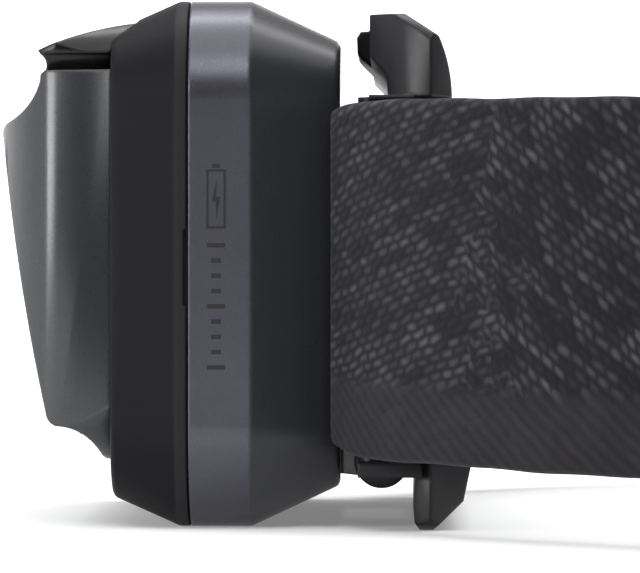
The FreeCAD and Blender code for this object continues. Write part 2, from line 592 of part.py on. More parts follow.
# ---------------------------------------------------------------- bracket and strap
def make_bracket():
    """Plate with a forward hook, strap arms, upright bars and tilt barrels."""
    profile = side_sketch("bracket_sketch",
                          [("14.7", "30.5"),
                           ("14.6", "33.0", "1.6", -1),
                           ("14.2", "33.9"),
                           ("12.55", "35.5"),
                           ("12.2", "35.9"),
                           ("12.15", "37.1"),
                           ("12.45", "37.55"),
                           ("13.05", "37.6"),
                           ("13.4", "Size.bracket_high"),
                           ("15.9", "Size.bracket_high"),
                           ("18.4", "36.2", "11", 1),
                           ("19.35", "31.7"),
                           ("20.75", "4.6"),
                           ("20.2", "2.1"),
                           ("17.95", "0"),
                           ("17.0", "0"),
                           ("16.6", "0.6"),
                           ("16.5", "1.9"),
                           ("16.6", "3.2"),
                           ("16.9", "7.6"),
                           ("14.7", "11.5")])
    plate = extrude("bracket_long", profile, (1, 0, 0), "40", "40")
    face = front_sketch("bracket_face_sketch",
                        [("-Size.arm_half + 3", "0"),
                         ("Size.arm_half - 3", "0", "3", -1),
                         ("Size.arm_half", "3"),
                         ("Size.arm_half", "33.6", "6.5", -1),
                         ("22.4", "Size.bracket_high + 0.1"),
                         ("-22.4", "Size.bracket_high + 0.1", "6.5", -1),
                         ("-Size.arm_half", "33.6"),
                         ("-Size.arm_half", "3", "3", -1)])
    front = extrude("bracket_face", face, (0, 1, 0), "30", "0")
    plan = outline(free_sketch("bracket_plan_sketch"),
                   [("-Size.arm_half + 6.5", "11"), ("Size.arm_half - 6.5", "11"),
                    ("Size.arm_half - 2", "15.9"), ("Size.arm_half - 0.9", "17.8"),
                    ("Size.arm_half - 5", "22"), ("-Size.arm_half + 5", "22"),
                    ("-Size.arm_half + 0.9", "17.8"), ("-Size.arm_half + 2", "15.9")])
    blank = common("bracket_blank", plate, front,
                   extrude("bracket_plan", plan, (0, 0, 1), "Size.body_height", "1"))
    tools = []
    pieces = [blank]
    for name, sign in (("near", 1), ("far", -1)):
        low_x = "Size.plate_half" if sign > 0 else "-Size.arm_half - 2"
        tools.append(box("strap_slot_" + name, (low_x, "10", "Size.strap_low - 0.35"),
                         ("Size.arm_half + 2 - Size.plate_half", "14", "Size.strap_wide + 0.75")))
        tip_x = "8.4" if sign > 0 else "-40"
        tools.append(box("tip_side_" + name, (tip_x, "10", "33"), ("31.6", "3.3", "8")))
        bar_x = "%d * Size.bar_x" % sign
        pieces.append(rod("bar_" + name, (bar_x, "Size.bar_y", "Size.strap_low - 1.2"),
                          "Size.bar_radius", "Size.strap_wide + 1.6"))
        foot_x = "Size.plate_half" if sign > 0 else "-Size.arm_half + 0.6"
        pieces.append(box("bar_foot_" + name, (foot_x, "Size.bar_y - Size.bar_radius", "3.9"),
                          ("Size.arm_half - 0.6 - Size.plate_half", "4.6", "Size.strap_low - 4.25")))
        head_x = "%d * Size.bar_x - 1.5" % sign
        pieces.append(box("bar_head_" + name, (head_x, "Size.bar_y - 0.5", "Size.strap_low + 26.1"),
                          ("3", "3.4", "0.45")))
        barrel_x = "Size.lug_out + Size.play" if sign > 0 else "-Size.barrel_out"
        length = "Size.barrel_out - Size.lug_out - Size.play"
        pieces.append(rod("barrel_" + name, (barrel_x, "Size.tilt_y", "Size.tilt_z"),
                          "Size.tilt_radius", length, along="x"))
        pieces.append(box("barrel_neck_" + name, (barrel_x, "Size.tilt_y", "Size.tilt_z - 1.15"),
                          (length, "3.4", "3.4")))
    bores = []
    for name, start in (("near", "Size.lug_in - 1"), ("far", "-Size.barrel_out + 0.8")):
        bores.append(rod("pin_bore_" + name, (start, "Size.tilt_y", "Size.tilt_z"), "Size.tilt_pin",
                         "Size.barrel_out - Size.lug_in + 0.2", along="x"))
    solid = fuse("bracket_solid", cut("bracket_cut", blank, *tools), *pieces[1:])
    return cut("bracket_shape", solid, *bores)


def strip(path, low, high, thickness):
    """A webbing strip standing on edge: each stretch of the path, thickened and joined."""
    upright = FreeCAD.Vector(0, 0, 1)
    stretches = []
    for stretch in path:
        if stretch[0] == "line":
            first, last = stretch[1], stretch[2]
            along = (last - first).normalize()
            across = FreeCAD.Vector(-along.y, along.x, 0) * (thickness / 2.0)
            corners = [first + across, last + across, last - across, first - across, first + across]
            stretches.append(Part.Face(Part.makePolygon(corners)).extrude(upright * (high - low)))
            continue
        centre, radius, begin, stop = stretch[1:]
        bend = Part.makeCylinder(radius + thickness / 2.0, high - low, centre, upright, stop - begin)
        core = Part.makeCylinder(radius - thickness / 2.0, high - low, centre, upright, stop - begin)
        bend = bend.cut(core)
        bend.rotate(centre, upright, begin)
        stretches.append(bend)
    joined = stretches[0].multiFuse(stretches[1:]).removeSplitter()
    joined.translate(upright * low)
    return joined


def half_path(with_tail):
    """The strap's middle line on the +X side, from the end of its tail to the middle of the back."""
    fold = value("Size.fold_radius")
    bar = FreeCAD.Vector(value("Size.bar_x"), value("Size.bar_y"), 0)
    lean = math.radians(value("Size.leave_angle"))
    inward = FreeCAD.Vector(-math.sin(lean), math.cos(lean), 0)
    bend = value("Size.side_radius")
    outer_start = bar - inward * fold
    outer_centre = outer_start + inward * bend
    widest = outer_centre.x + bend
    back = value("Size.strap_back - Size.strap_thick / 2") - widest
    angle = value("Size.leave_angle")
    path = [("arc", bar, fold, angle + 90.0, angle + 270.0),
            ("arc", outer_centre, bend, angle - 90.0, 0.0),
            ("line", FreeCAD.Vector(widest, outer_centre.y, 0), FreeCAD.Vector(widest, back, 0)),
            ("arc", FreeCAD.Vector(0, back, 0), widest, 0.0, 90.0)]
    gap = value("Size.layer_gap")
    near = 50.0 if with_tail else 24.0
    settle = (2.0 * fold - gap) / (1.0 - math.cos(math.radians(near)))
    inner_bend = bend - 2.0 * fold + settle
    inner_centre = bar + inward * fold + inward * inner_bend
    path.append(("arc", inner_centre, inner_bend, angle - 90.0, angle - 90.0 + near))
    if with_tail:
        turned = math.radians(angle - 90.0 + near)
        reached = inner_centre + FreeCAD.Vector(math.cos(turned), math.sin(turned), 0) * inner_bend
        follow = bend - gap
        follow_centre = reached - FreeCAD.Vector(math.cos(turned), math.sin(turned), 0) * follow
        path.append(("arc", follow_centre, follow, angle - 90.0 + near, 0.0))
        last = FreeCAD.Vector(follow_centre.x + follow, follow_centre.y, 0)
        path.append(("line", last, FreeCAD.Vector(last.x, value("Size.tail_near"), 0)))
    return path


def mirrored(path):
    """The same path on the -X side."""
    result = []
    for stretch in path:
        if stretch[0] == "line":
            flipped = [FreeCAD.Vector(-spot.x, spot.y, 0) for spot in stretch[1:]]
            result.append(("line", flipped[1], flipped[0]))
            continue
        centre, radius, begin, stop = stretch[1:]
        flipped_centre = FreeCAD.Vector(-centre.x, centre.y, 0)
        result.append(("arc", flipped_centre, radius, 180.0 - stop, 180.0 - begin))
    return result


def strap_slope():
    """The strap's edges fall towards the back, where the lower edge rests on the ground."""
    fall = value("Size.strap_low")
    run = value("Size.strap_back - Size.bar_y")
    return math.atan2(fall, run)


def make_strap():
    """One elastic band: folded round both bars, doubled on the near side, sewn down on the far side."""
    thickness = value("Size.strap_thick")
    low = -1.0
    high = value("Size.strap_low + Size.strap_wide + 2")
    near = strip(half_path(True), low, high, thickness)
    far = strip(mirrored(half_path(False)), low, high, thickness)
    ring = near.fuse(far).removeSplitter()
    slab = Part.makeBox(400, 400, value("Size.strap_wide") * math.cos(strap_slope()))
    slab.translate(FreeCAD.Vector(-200, 0, 0))
    slab.rotate(FreeCAD.Vector(), FreeCAD.Vector(1, 0, 0), -math.degrees(strap_slope()))
    slab.translate(FreeCAD.Vector(0, 0, value("Size.strap_back") * math.tan(strap_slope())))
    strap = doc.addObject("Part::Feature", "headband_strap_shape")
    strap.Shape = ring.common(slab)
    return strap


def make_slider():
    """Three-bar slider round both layers of the strap, in line with its slope."""
    fold = value("Size.fold_radius")
    lean = math.radians(value("Size.leave_angle"))
    bulge = value("Size.side_radius") * (1 - math.sin(lean))
    widest = value("Size.bar_x") + fold * math.sin(lean) + bulge
    outer_face = "%.6f" % (widest + value("Size.strap_thick") / 2)
    body = new_body("strap_slider")
    frame = outline(sketch_on(body, "slider_frame", "YZ_Plane", outer_face + " - 5.4"),
                    [("0", "-2.6"), ("Size.slider_long", "-2.6"),
                     ("Size.slider_long", "Size.strap_wide + 2.6"), ("0", "Size.strap_wide + 2.6")])
    blank = pad(body, frame, "7")
    soften(body, blank, "0.9", lambda edge: edge.Length > 6.9 and edge.Length < 7.1)
    inside = outline(sketch_on(body, "slider_inside", "XZ_Plane"),
                     [(outer_face + " - 4.1", "-0.5"), (outer_face + " + 0.35", "-0.5"),
                      (outer_face + " + 0.35", "Size.strap_wide + 0.5"),
                      (outer_face + " - 4.1", "Size.strap_wide + 0.5")])
    pocket(body, inside, "3 * Size.slider_long", both=True)
    for index, spot in enumerate(("2.4", "9.1")):
        slot = outline(sketch_on(body, "slider_slot_%d" % index, "YZ_Plane"),
                       [(spot, "-0.5"), (spot + " + 3.5", "-0.5"),
                        (spot + " + 3.5", "Size.strap_wide + 0.5"), (spot, "Size.strap_wide + 0.5")])
        pocket(body, slot, "200", reverse=True)
    return body


# ---------------------------------------------------------------- small pieces
def make_button():
    """Press button: a long oval cap with a flange and a plunger."""
    body = new_body("button")
    half = "Size.button_long / 2"
    wide = "Size.button_wide / 2"
    stem = outline(sketch_on(body, "button_cap", "XY_Plane", "-1.9"), oval(half, wide))
    pad(body, stem, "1.9")
    flange = outline(sketch_on(body, "button_flange", "XY_Plane", "-2.3"),
                     oval(half + " + 0.6", wide + " + 0.2"))
    pad(body, flange, "0.5")
    return body


def make_reflector():
    """Bowl turned from a parabola-like arc, with a flat rim."""
    body = new_body("reflector")
    mouth = "Size.bowl_radius"
    profile = outline(sketch_on(body, "bowl_profile", "XY_Plane"),
                      [("1.7", "1.9 + Size.bowl_depth", "11", 1), (mouth + " - 0.5", "1.9"),
                       (mouth + " + 0.6", "1.9"), (mouth + " + 0.6", "2.6"),
                       (mouth + " - 0.3", "2.6", "12", -1), ("2.7", "1.9 + Size.bowl_depth")])
    turned = body.newObject("PartDesign::Revolution", "bowl")
    turned.Profile = profile
    for axis in body.Origin.OriginFeatures:
        if axis.Role == "Y_Axis":
            turned.ReferenceAxis = (axis, [""])
    turned.Angle = 360.0
    doc.recompute()
    return body


def make_cell(name, height):
    """One AAA cell along X with its positive button."""
    can = rod(name + "_can", ("-Size.cell_length / 2", "Size.cell_depth", height), "Size.cell_radius",
              "Size.cell_length", along="x")
    tip = rod(name + "_tip", ("Size.cell_length / 2 - 0.5", "Size.cell_depth", height), "1.9", "1.5",
              along="x")
    return finish(fuse(name + "_shape", can, tip), name)


def cell_heights():
    """Heights of the three cells' axes, from the top one down."""
    return ("Size.cell_middle + Size.cell_pitch", "Size.cell_middle",
            "Size.cell_middle - Size.cell_pitch")


def make_springs():
    """Bent contact leaves at the negative ends of the cells, one for each cell."""
    leaves = []
    tip = "-Size.cell_length / 2 - 0.15"
    root = "%s - Size.spring_length" % tip
    for index, height in enumerate(cell_heights()):
        sketch = free_sketch("leaf_sketch_%d" % index)
        outline(sketch, [(root, "Size.cell_depth - 2.6"),
                         (root + " + 0.35", "Size.cell_depth - 2.6"),
                         (tip, "Size.cell_depth + 0.4"),
                         (tip + " - 2.6", "Size.cell_depth + 2.4"),
                         (tip + " - 2.9", "Size.cell_depth + 2.2"),
                         (tip + " - 0.55", "Size.cell_depth + 0.4")])
        leaves.append(extrude("leaf_%d" % index, sketch, (0, 0, 1),
                              "%s + 2.5" % height, "2.5 - (%s)" % height))
    return group("springs_shape", *leaves)


def group_of_blocks(name, specs):
    """Several separate blocks in one node: each spec is a centre and a size."""
    blocks = [block_about("%s_%d" % (name, index), *centre, size)
              for index, (centre, size) in enumerate(specs)]
    return group(name + "_shape", *blocks)


def screws(name, spots, radius, length, along, head_radius, head_length):
    """Pan-head screws, all alike, one solid each; the head is at the far end of the shank."""
    pieces = []
    for index, spot in enumerate(spots):
        shank = rod("%s_shank_%d" % (name, index), spot, radius, length, along=along)
        seat = (spot[0], "%s + %s" % (spot[1], length), spot[2])
        head = rod("%s_head_%d" % (name, index), seat, head_radius, head_length, along=along)
        pieces.append(fuse("%s_%d" % (name, index), shank, head))
    return group(name + "_shape", *pieces)


# ---------------------------------------------------------------- the lamp, front half
finish(make_front_housing(), "front_housing")
finish(make_front_cover(), "front_cover")
finish(make_brow(), "brow_trim")

lens = new_body("lens_window")
pad(lens, outline(sketch_on(lens, "lens_outline", "XZ_Plane", "-Size.lens_thick - 0.25"),
                  rounded("Size.window_half - 0.1", "-Size.window_high + 0.1",
                          "Size.window_high - 0.1", "4.9")),
    "Size.lens_thick")
finish(lens, "lens_window", OPTICS, "Size.optic_tilt")

seal = new_body("lens_seal")
pad(seal, outline(sketch_on(seal, "lens_seal_outline", "XZ_Plane", "-0.95"),
                  rounded("Size.window_half + 0.75", "-Size.window_high - 0.75",
                          "Size.window_high + 0.75", "5.75")),
    "0.45")
pocket(seal, outline(sketch_on(seal, "lens_seal_inner", "XZ_Plane", "-2"),
                     rounded("Size.window_half + 0.02", "-Size.window_high - 0.02",
                             "Size.window_high + 0.02", "5.02")),
       "4", reverse=True)
finish(seal, "lens_seal", OPTICS, "Size.optic_tilt")

finish(make_reflector(), "reflector", OPTICS, "Size.optic_tilt")
BOARD_Y = "1.9 + Size.bowl_depth"

led = fuse("main_led_shape",
           block_about("led_base", "0", BOARD_Y + " - 0.25", "0", ("2.3", "0.5", "2.3")),
           rod("led_dome", ("0", BOARD_Y + " - 1.1", "0"), "0.9", "0.6", along="y"))
finish(led, "main_led", OPTICS, "Size.optic_tilt")

board = cut("led_board_shape",
            block_about("led_board_plate", "0", BOARD_Y + " + 0.35", "0", ("36", "0.6", "17")),
            rod("board_hole_near", ("8.8", BOARD_Y, "6.6"), "0.8", "2", along="y"),
            rod("board_hole_far", ("-8.8", BOARD_Y, "-6.6"), "0.8", "2", along="y"))
finish(board, "led_board", OPTICS, "Size.optic_tilt")

spreader = cut("heat_spreader_shape",
               block_about("spreader_plate", "0", BOARD_Y + " + 1.05", "0", ("34", "0.7", "16")),
               rod("spreader_hole_near", ("8.8", BOARD_Y, "6.6"), "0.55", "3", along="y"),
               rod("spreader_hole_far", ("-8.8", BOARD_Y, "-6.6"), "0.55", "3", along="y"))
finish(spreader, "heat_spreader", OPTICS, "Size.optic_tilt")

BOARD_SCREW_SPOTS = [("8.8", BOARD_Y + " + 0.1", "6.6"), ("-8.8", BOARD_Y + " + 0.1", "-6.6")]
finish(screws("board_screw", BOARD_SCREW_SPOTS, "0.5", "1.3", "y", "1.1", "0.5"),
       "board_screws", OPTICS, "Size.optic_tilt")

for side_name, side_x in (("flood_led", "Size.side_led_x"), ("red_led", "-Size.side_led_x")):
    chip = fuse(side_name + "_shape",
                block_about(side_name + "_base", side_x, BOARD_Y + " - 0.35", "0", ("3.4", "0.6", "3.4")),
                block_about(side_name + "_chip", side_x, BOARD_Y + " - 0.8", "0", ("1.8", "0.4", "1.8")))
    finish(chip, side_name, OPTICS, "Size.optic_tilt")
    collar = cut(side_name + "_cup_shape",
                 rod(side_name + "_cup_out", (side_x, "2", "0"), "4.2", BOARD_Y + " - 2.1", along="y"),
                 rod(side_name + "_cup_in", (side_x, "1", "0"), "3.4", BOARD_Y + " - 1.8", along="y"),
                 rod(side_name + "_cup_eye", (side_x, "1", "0"), "2.6", "8", along="y"))
    finish(collar, side_name.replace("led", "cup"), OPTICS, "Size.optic_tilt")

control = block_about("control_board_plate", "0", "-2.75", "19.4", ("43", "0.8", "25"))
finish(group("control_board_shape", control), "control_board")
BOARD_PARTS = [(("-14", "-2.05", "26"), ("5", "0.5", "5")),
               (("-4", "-2.04", "25.5"), ("4", "0.56", "4")),
               (("6", "-2.04", "14"), ("3.2", "0.56", "3.2")),
               (("13", "-2.05", "25"), ("2.4", "0.5", "1.4")),
               (("16.4", "-2.05", "25"), ("2.4", "0.5", "1.4"))]
finish(group_of_blocks("board_parts", BOARD_PARTS), "board_parts")
divider = block_about("divider_plate", "0", "-1.45", "20.4", ("53", "0.5", "26"))
finish(group("divider_shape", divider), "cell_divider")
finish(screws("cover_screw", cover_screw_spots(), "0.6", "2.6 + Size.wall", "y", "1.2", "0.8"),
       "cover_screws")

ring = new_body("housing_seal")
pad(ring, outline(sketch_on(ring, "seal_outer", "XZ_Plane", "0.12"),
                  rounded("Size.half_width - Size.wall - 0.05", "Size.wall + 0.05",
                          "Size.body_height - Size.wall - 0.05",
                          "Size.body_corner - Size.wall - 0.05")),
    "0.9")
pocket(ring, outline(sketch_on(ring, "seal_inner", "XZ_Plane", "-1"),
                     rounded("Size.half_width - Size.wall - 0.85", "Size.wall + 0.85",
                             "Size.body_height - Size.wall - 0.85",
                             "Size.body_corner - Size.wall - 0.85")),
       "5", reverse=True)
finish(ring, "housing_seal")

catch = fuse("snap_catch_shape",
             box("catch_root", ("Size.half_width - Size.wall - 1.9", "-1.15", "16.2"),
                 ("0.8", "3.0", "6.6")),
             box("catch_lip", ("Size.half_width - Size.wall - 1.4", "0.9", "17.2"),
                 ("0.75", "0.8", "4.6")))
finish(catch, "snap_catch")

# press button and the switch beneath it
finish(make_button(), "power_button", TOP_SLOPE, "Size.front_slope")
switch = fuse("dome_switch_shape",
              block_about("switch_case", "0", "0.2", "-3.75", ("4.4", "1.8", "1.2")),
              rod("switch_dome", ("0", "0.2", "-3.2"), "0.7", "0.3"))
finish(switch, "dome_switch", TOP_SLOPE, "Size.front_slope")

# charging socket and its flap
socket = cut("charge_socket_shape",
             block_about("socket_shell", "0", "0", "-2.75", ("8.4", "2.5", "3.3")),
             block_about("socket_mouth", "0", "0", "-2.2", ("7.5", "1.6", "3.8")))
tongue = fuse("charge_socket_solid", socket,
              block_about("socket_tongue", "0", "0", "-2.9", ("5.0", "0.5", "2.6")))
finish(tongue, "charge_socket", LOW_SLOPE, "180 - Size.front_slope")
flap = new_body("port_flap")
pad(flap, outline(sketch_on(flap, "flap_outline", "XY_Plane", "-Size.flap_thick"),
                  oval("Size.flap_long / 2", "Size.flap_wide / 2")), "Size.flap_thick - 0.08")
finish(flap, "port_flap", LOW_SLOPE, "180 - Size.front_slope")

# ---------------------------------------------------------------- the lamp, rear half
finish(make_rear_cover(), "rear_cover")
for cell_name, cell_height in zip(("cell_top", "cell_middle", "cell_bottom"), cell_heights()):
    make_cell(cell_name, cell_height)
plate_ends = ("Size.cell_length / 2 + 1.25", "-Size.cell_length / 2 - Size.spring_length - 0.8")
contacts = [(end, "Size.cell_depth - 0.4", height) for end in plate_ends for height in cell_heights()]
plates = group_of_blocks("contact_plates", [(spot, ("0.4", "5.4", "7")) for spot in contacts])
finish(plates, "contact_plates")
finish(make_springs(), "contact_springs")
pin = rod("door_pin_rod", ("Size.door_x", "0", "6.2"), "Size.pin_radius - 0.01", "26.6")
finish(group("door_pin_shape", pin), "door_pin")

# ---------------------------------------------------------------- headband
finish(make_bracket(), "bracket")
pins = group("tilt_pins_shape",
            rod("tilt_pin_near", ("Size.lug_in + 0.2", "Size.tilt_y", "Size.tilt_z"),
                "Size.tilt_pin - 0.01", "Size.barrel_out - Size.lug_in - 1.2", along="x"),
            rod("tilt_pin_far", ("-Size.barrel_out + 1", "Size.tilt_y", "Size.tilt_z"),
                "Size.tilt_pin - 0.01", "Size.barrel_out - Size.lug_in - 1.2", along="x"))
finish(pins, "tilt_pins")
finish(make_strap(), "headband_strap")
slope_text = "-atan(Size.strap_low / (Size.strap_back - Size.bar_y))"
slider_z = "(Size.strap_back - Size.slider_y) * tan(%s)" % slope_text[1:]
finish(make_slider(), "strap_slider", ("0", "Size.parting_y + Size.slider_y", slider_z), slope_text)

doc.recompute()

# ---------------------------------------------------------------- checks and files
faulty = [item.Name for item in doc.Objects if "Invalid" in item.State or "Error" in item.State]
assert not faulty, "failed objects: " + ", ".join(faulty)
for node in NODES:
    assert not node.Shape.isNull() and node.Shape.isValid(), "bad shape: " + node.Label
for node in NODES:
    node.Shape.exportStep(os.path.join("parts", node.Label + ".step"))
    print("%-16s %9.1f mm3  %d solids" % (node.Label, node.Shape.Volume, len(node.Shape.Solids)))
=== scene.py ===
# %% [markdown]
# # A family headlamp, finished and lit
#
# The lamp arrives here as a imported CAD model: every part has its place, its
# joints and its size. This lesson gives each part the surface the real one
# has, rounds the edges that a mould would round, and weaves the headband.
# Lengths are typed in millimetres, because that is how the lamp is drawn,
# and MM turns them into Blender's metres.

# %% Load the frame
import json
import math

import bmesh
import bpy
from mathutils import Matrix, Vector


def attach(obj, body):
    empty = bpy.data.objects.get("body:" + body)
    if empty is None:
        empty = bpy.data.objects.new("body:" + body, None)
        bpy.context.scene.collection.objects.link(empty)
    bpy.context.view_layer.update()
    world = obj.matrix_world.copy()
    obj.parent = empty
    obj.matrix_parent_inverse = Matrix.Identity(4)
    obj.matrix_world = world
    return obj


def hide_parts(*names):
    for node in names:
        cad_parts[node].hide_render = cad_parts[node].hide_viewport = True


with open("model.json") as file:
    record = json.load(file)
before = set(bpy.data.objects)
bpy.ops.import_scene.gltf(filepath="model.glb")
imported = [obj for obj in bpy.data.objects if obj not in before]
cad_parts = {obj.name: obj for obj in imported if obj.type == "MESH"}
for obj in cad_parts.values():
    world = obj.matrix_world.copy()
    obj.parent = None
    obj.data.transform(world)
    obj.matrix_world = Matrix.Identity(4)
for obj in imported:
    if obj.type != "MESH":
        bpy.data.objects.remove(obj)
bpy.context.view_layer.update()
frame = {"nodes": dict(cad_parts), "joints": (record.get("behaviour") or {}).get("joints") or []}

MM = 0.001
scene = bpy.context.scene
print("nodes:", len(frame["nodes"]))

# %% [markdown]
# ## Where things are
#
# The front and rear halves of the lamp meet on one upright plane. Most of
# the drawing counts from there, so its place is read from the frame: the
# opening hinge lies on it.

# %% The parting plane
joints = {joint["name"]: joint for joint in frame["joints"]}
PARTING = joints["open"]["pos_m"][1]


def lamp(x, y, z):
    """A point counted from the parting plane, in millimetres, as a place in the scene."""
    return Vector((x * MM, y * MM + PARTING, z * MM))


print("parting plane at y =", round(PARTING, 5))

# %% [markdown]
# ## The camera
#
# A long lens a short way off looks square at the lamp's side. It stands one
# degree round from square, which just shows the flat back of the lamp.

# %% Camera
ASIDE = math.radians(1.0)
STAND_OFF = 420 * MM
look_at = lamp(0, 9.15, 17.87)
eye = look_at + STAND_OFF * Vector((math.cos(ASIDE), math.sin(ASIDE), 0))

camera_data = bpy.data.cameras.new("side_camera")
camera_data.lens = 299.25
camera_data.sensor_width = 36
camera_data.clip_start = 0.01
camera_data.clip_end = 20
camera = bpy.data.objects.new("side_camera", camera_data)
camera.location = eye
camera.rotation_euler = (look_at - eye).to_track_quat("-Z", "Y").to_euler()
scene.collection.objects.link(camera)
scene.camera = camera
print("camera", [round(part, 4) for part in eye])

# %% [markdown]
# ## A bench for finishes
#
# Every surface here is made from nodes: patterns worked out from the place
# on the part, with no pictures. The Bench keeps the wiring short. It holds
# one material, and adds nodes that are fed by numbers or by other nodes.

# %% The bench
class Bench:
    """One finish being made: its material, its shader, and short ways to add nodes."""

    def __init__(self, name, **given):
        self.material = bpy.data.materials.new(name)
        self.material.use_nodes = True
        self.tree = self.material.node_tree
        self.tree.nodes.clear()
        self.shader = self.add("ShaderNodeBsdfPrincipled")
        self.result = self.add("ShaderNodeOutputMaterial")
        self.tree.links.new(self.shader.outputs[0], self.result.inputs["Surface"])
        self.place = self.add("ShaderNodeTexCoord").outputs["Object"]

    def feed(self, socket, given):
        """Joins a node's output to a socket, or sets the socket to a plain value."""
        if isinstance(given, bpy.types.NodeSocket):
            self.tree.links.new(given, socket)
        else:
            socket.default_value = given

    def add(self, kind, sockets=None, **settings):
        """A new node with its settings made and its sockets fed."""
        node = self.tree.nodes.new(kind)
        for key, setting in settings.items():
            setattr(node, key, setting)
        for key, given in (sockets or {}).items():
            self.feed(node.inputs[key], given)
        return node

    def sum(self, operation, *given):
        """One step of arithmetic."""
        return self.add("ShaderNodeMath", dict(enumerate(given)), operation=operation).outputs[0]

    def noise(self, per_mm, detail=2.0, stretch=(1, 1, 1), roughness=0.5):
        """Cloudy values, with about this many clouds in a millimetre."""
        scaled = self.add("ShaderNodeMapping", {"Vector": self.place, "Scale": stretch})
        return self.add("ShaderNodeTexNoise", {
            "Vector": scaled.outputs[0], "Scale": per_mm / MM, "Detail": detail,
            "Roughness": roughness}).outputs[0]

    def spread(self, value, low, high, to_low=0.0, to_high=1.0):
        """Moves values between low and high to a new range, and holds them there."""
        return self.add("ShaderNodeMapRange", {
            "Value": value, "From Min": low, "From Max": high,
            "To Min": to_low, "To Max": to_high}, clamp=True).outputs[0]

    def blend(self, share, one, other):
        """A colour between two, by a share from 0 to 1."""
        mix = self.add("ShaderNodeMix", data_type="RGBA")
        for index, given in ((0, share), (6, one), (7, other)):
            self.feed(mix.inputs[index], given)
        return mix.outputs[2]

    def wear(self, **given):
        """Feeds the shader by the names of its sockets, with _ for a space."""
        for key, value in given.items():
            self.feed(self.shader.inputs[key.replace("_", " ")], value)


def tone(red, green, blue):
    """A paint colour given as a screen shows it, from 0 to 255."""
    linear = []
    for part in (red, green, blue):
        part /= 255
        linear.append(part / 12.92 if part <= 0.04045 else ((part + 0.055) / 1.055) ** 2.4)
    return (*linear, 1.0)


# %% [markdown]
# ## Floor and light
#
# Product pictures use a white sweep: floor and backdrop are one bent sheet,
# so there is no line between them. This one is a wide dish with a bent-up
# rim, so the lamp can be looked at from any side, and the rim stays flat
# towards the viewer, where a bright wall would show as glare on dark plastic.

# %% The sweep
FLOOR_REACH = 3.1
RIM_BEND = 0.45
RIM_HIGH = 1.6
SPOKES = 72


def dish_profile():
    """The sheet cut from its middle outwards: flat floor, a quarter round, then the rim."""
    points = [(0.4, 0.0), (1.2, 0.0), (2.2, 0.0), (FLOOR_REACH, 0.0)]
    for step in range(1, 17):
        turn = math.radians(90 * step / 16)
        points.append((FLOOR_REACH + RIM_BEND * math.sin(turn), RIM_BEND * (1 - math.cos(turn))))
    points.append((FLOOR_REACH + RIM_BEND, RIM_HIGH))
    return points


def rise_at(turn):
    """How far the rim stands up: nothing towards the viewer, all the way elsewhere."""
    from_viewer = abs(math.degrees(math.atan2(math.sin(turn), math.cos(turn))))
    share = min(1.0, max(0.0, (from_viewer - 48.0) / 20.0))
    return share * share * (3 - 2 * share)


dish = bmesh.new()
spokes = []
for number in range(SPOKES):
    turn = math.tau * number / SPOKES
    spokes.append([dish.verts.new((reach * math.cos(turn), reach * math.sin(turn), up * rise_at(turn)))
                   for reach, up in dish_profile()])
for number, spoke in enumerate(spokes):
    following = spokes[(number + 1) % SPOKES]
    for step in range(len(spoke) - 1):
        dish.faces.new((spoke[step], spoke[step + 1], following[step + 1], following[step]))
dish.faces.new([spoke[0] for spoke in spokes])
bmesh.ops.recalc_face_normals(dish, faces=dish.faces)
sweep_mesh = bpy.data.meshes.new("sweep")
dish.to_mesh(sweep_mesh)
dish.free()
for face in sweep_mesh.polygons:
    face.use_smooth = True
sweep = bpy.data.objects.new("sweep", sweep_mesh)
scene.collection.objects.link(sweep)
print("sweep with", len(sweep_mesh.polygons), "faces")

# %% [markdown]
# The paper is matt white with a faint tooth. Away from the lamp it glows a
# little, as if lit by lamps of its own, so the far rim reads as plain white.

# %% Paper finish
NEAR_GLOW = 0.20
FAR_GLOW = 0.7

paper = Bench("pale_paper")
tooth = paper.add("ShaderNodeTexNoise", {"Scale": 900.0})
tooth_bump = paper.add("ShaderNodeBump", {
    "Strength": 0.1, "Distance": 0.05 * MM, "Height": tooth.outputs[0]})
from_middle = paper.add("ShaderNodeVectorMath", {0: paper.place}, operation="LENGTH").outputs["Value"]
towards_viewer = paper.add("ShaderNodeSeparateXYZ", {"Vector": paper.place}).outputs["X"]
far_off = paper.spread(from_middle, 0.6, 2.4, 0.0, FAR_GLOW)
not_viewer = paper.spread(towards_viewer, 0.6, -1.4, 0.1, 1.0)
glow = paper.sum("MULTIPLY_ADD", far_off, not_viewer, NEAR_GLOW)
paper.wear(Base_Color=(0.82, 0.82, 0.82, 1.0), Roughness=0.9, Specular_IOR_Level=0.1,
           Normal=tooth_bump.outputs[0], Emission_Color=(1.0, 1.0, 1.0, 1.0), Emission_Strength=glow)
sweep_mesh.materials.append(paper.material)

# %% [markdown]
# Four soft boxes light it. The wide one overhead does most of the work; a
# small one by the viewer and a narrow one ahead of the lamp draw the long
# highlights on the cover and the band; the last keeps the floor behind white.

# %% Soft boxes
def soft_box(name, place, aim, wide, tall, watts):
    """A flat square of light, turned to face a point."""
    light = bpy.data.lights.new(name, "AREA")
    light.shape = "RECTANGLE"
    light.size = wide
    light.size_y = tall
    light.energy = watts
    holder = bpy.data.objects.new(name, light)
    holder.location = place
    holder.rotation_euler = (Vector(aim) - Vector(place)).to_track_quat("-Z", "Y").to_euler()
    scene.collection.objects.link(holder)
    return holder


soft_box("overhead_box", (0.05, -0.10, 0.85), (0.02, -0.05, 0), 1.2, 1.2, 8.8)
soft_box("viewer_box", (0.62, -0.10, 0.52), lamp(0, 0, 25), 0.40, 0.24, 1.3)
soft_box("front_box", (0.36, -0.66, 0.17), lamp(0, 0, 20), 0.10, 0.30, 1.7)
soft_box("floor_wash", (-0.35, 0.0, 1.1), (-1.25, 0, 0.2), 1.8, 0.5, 16.0)

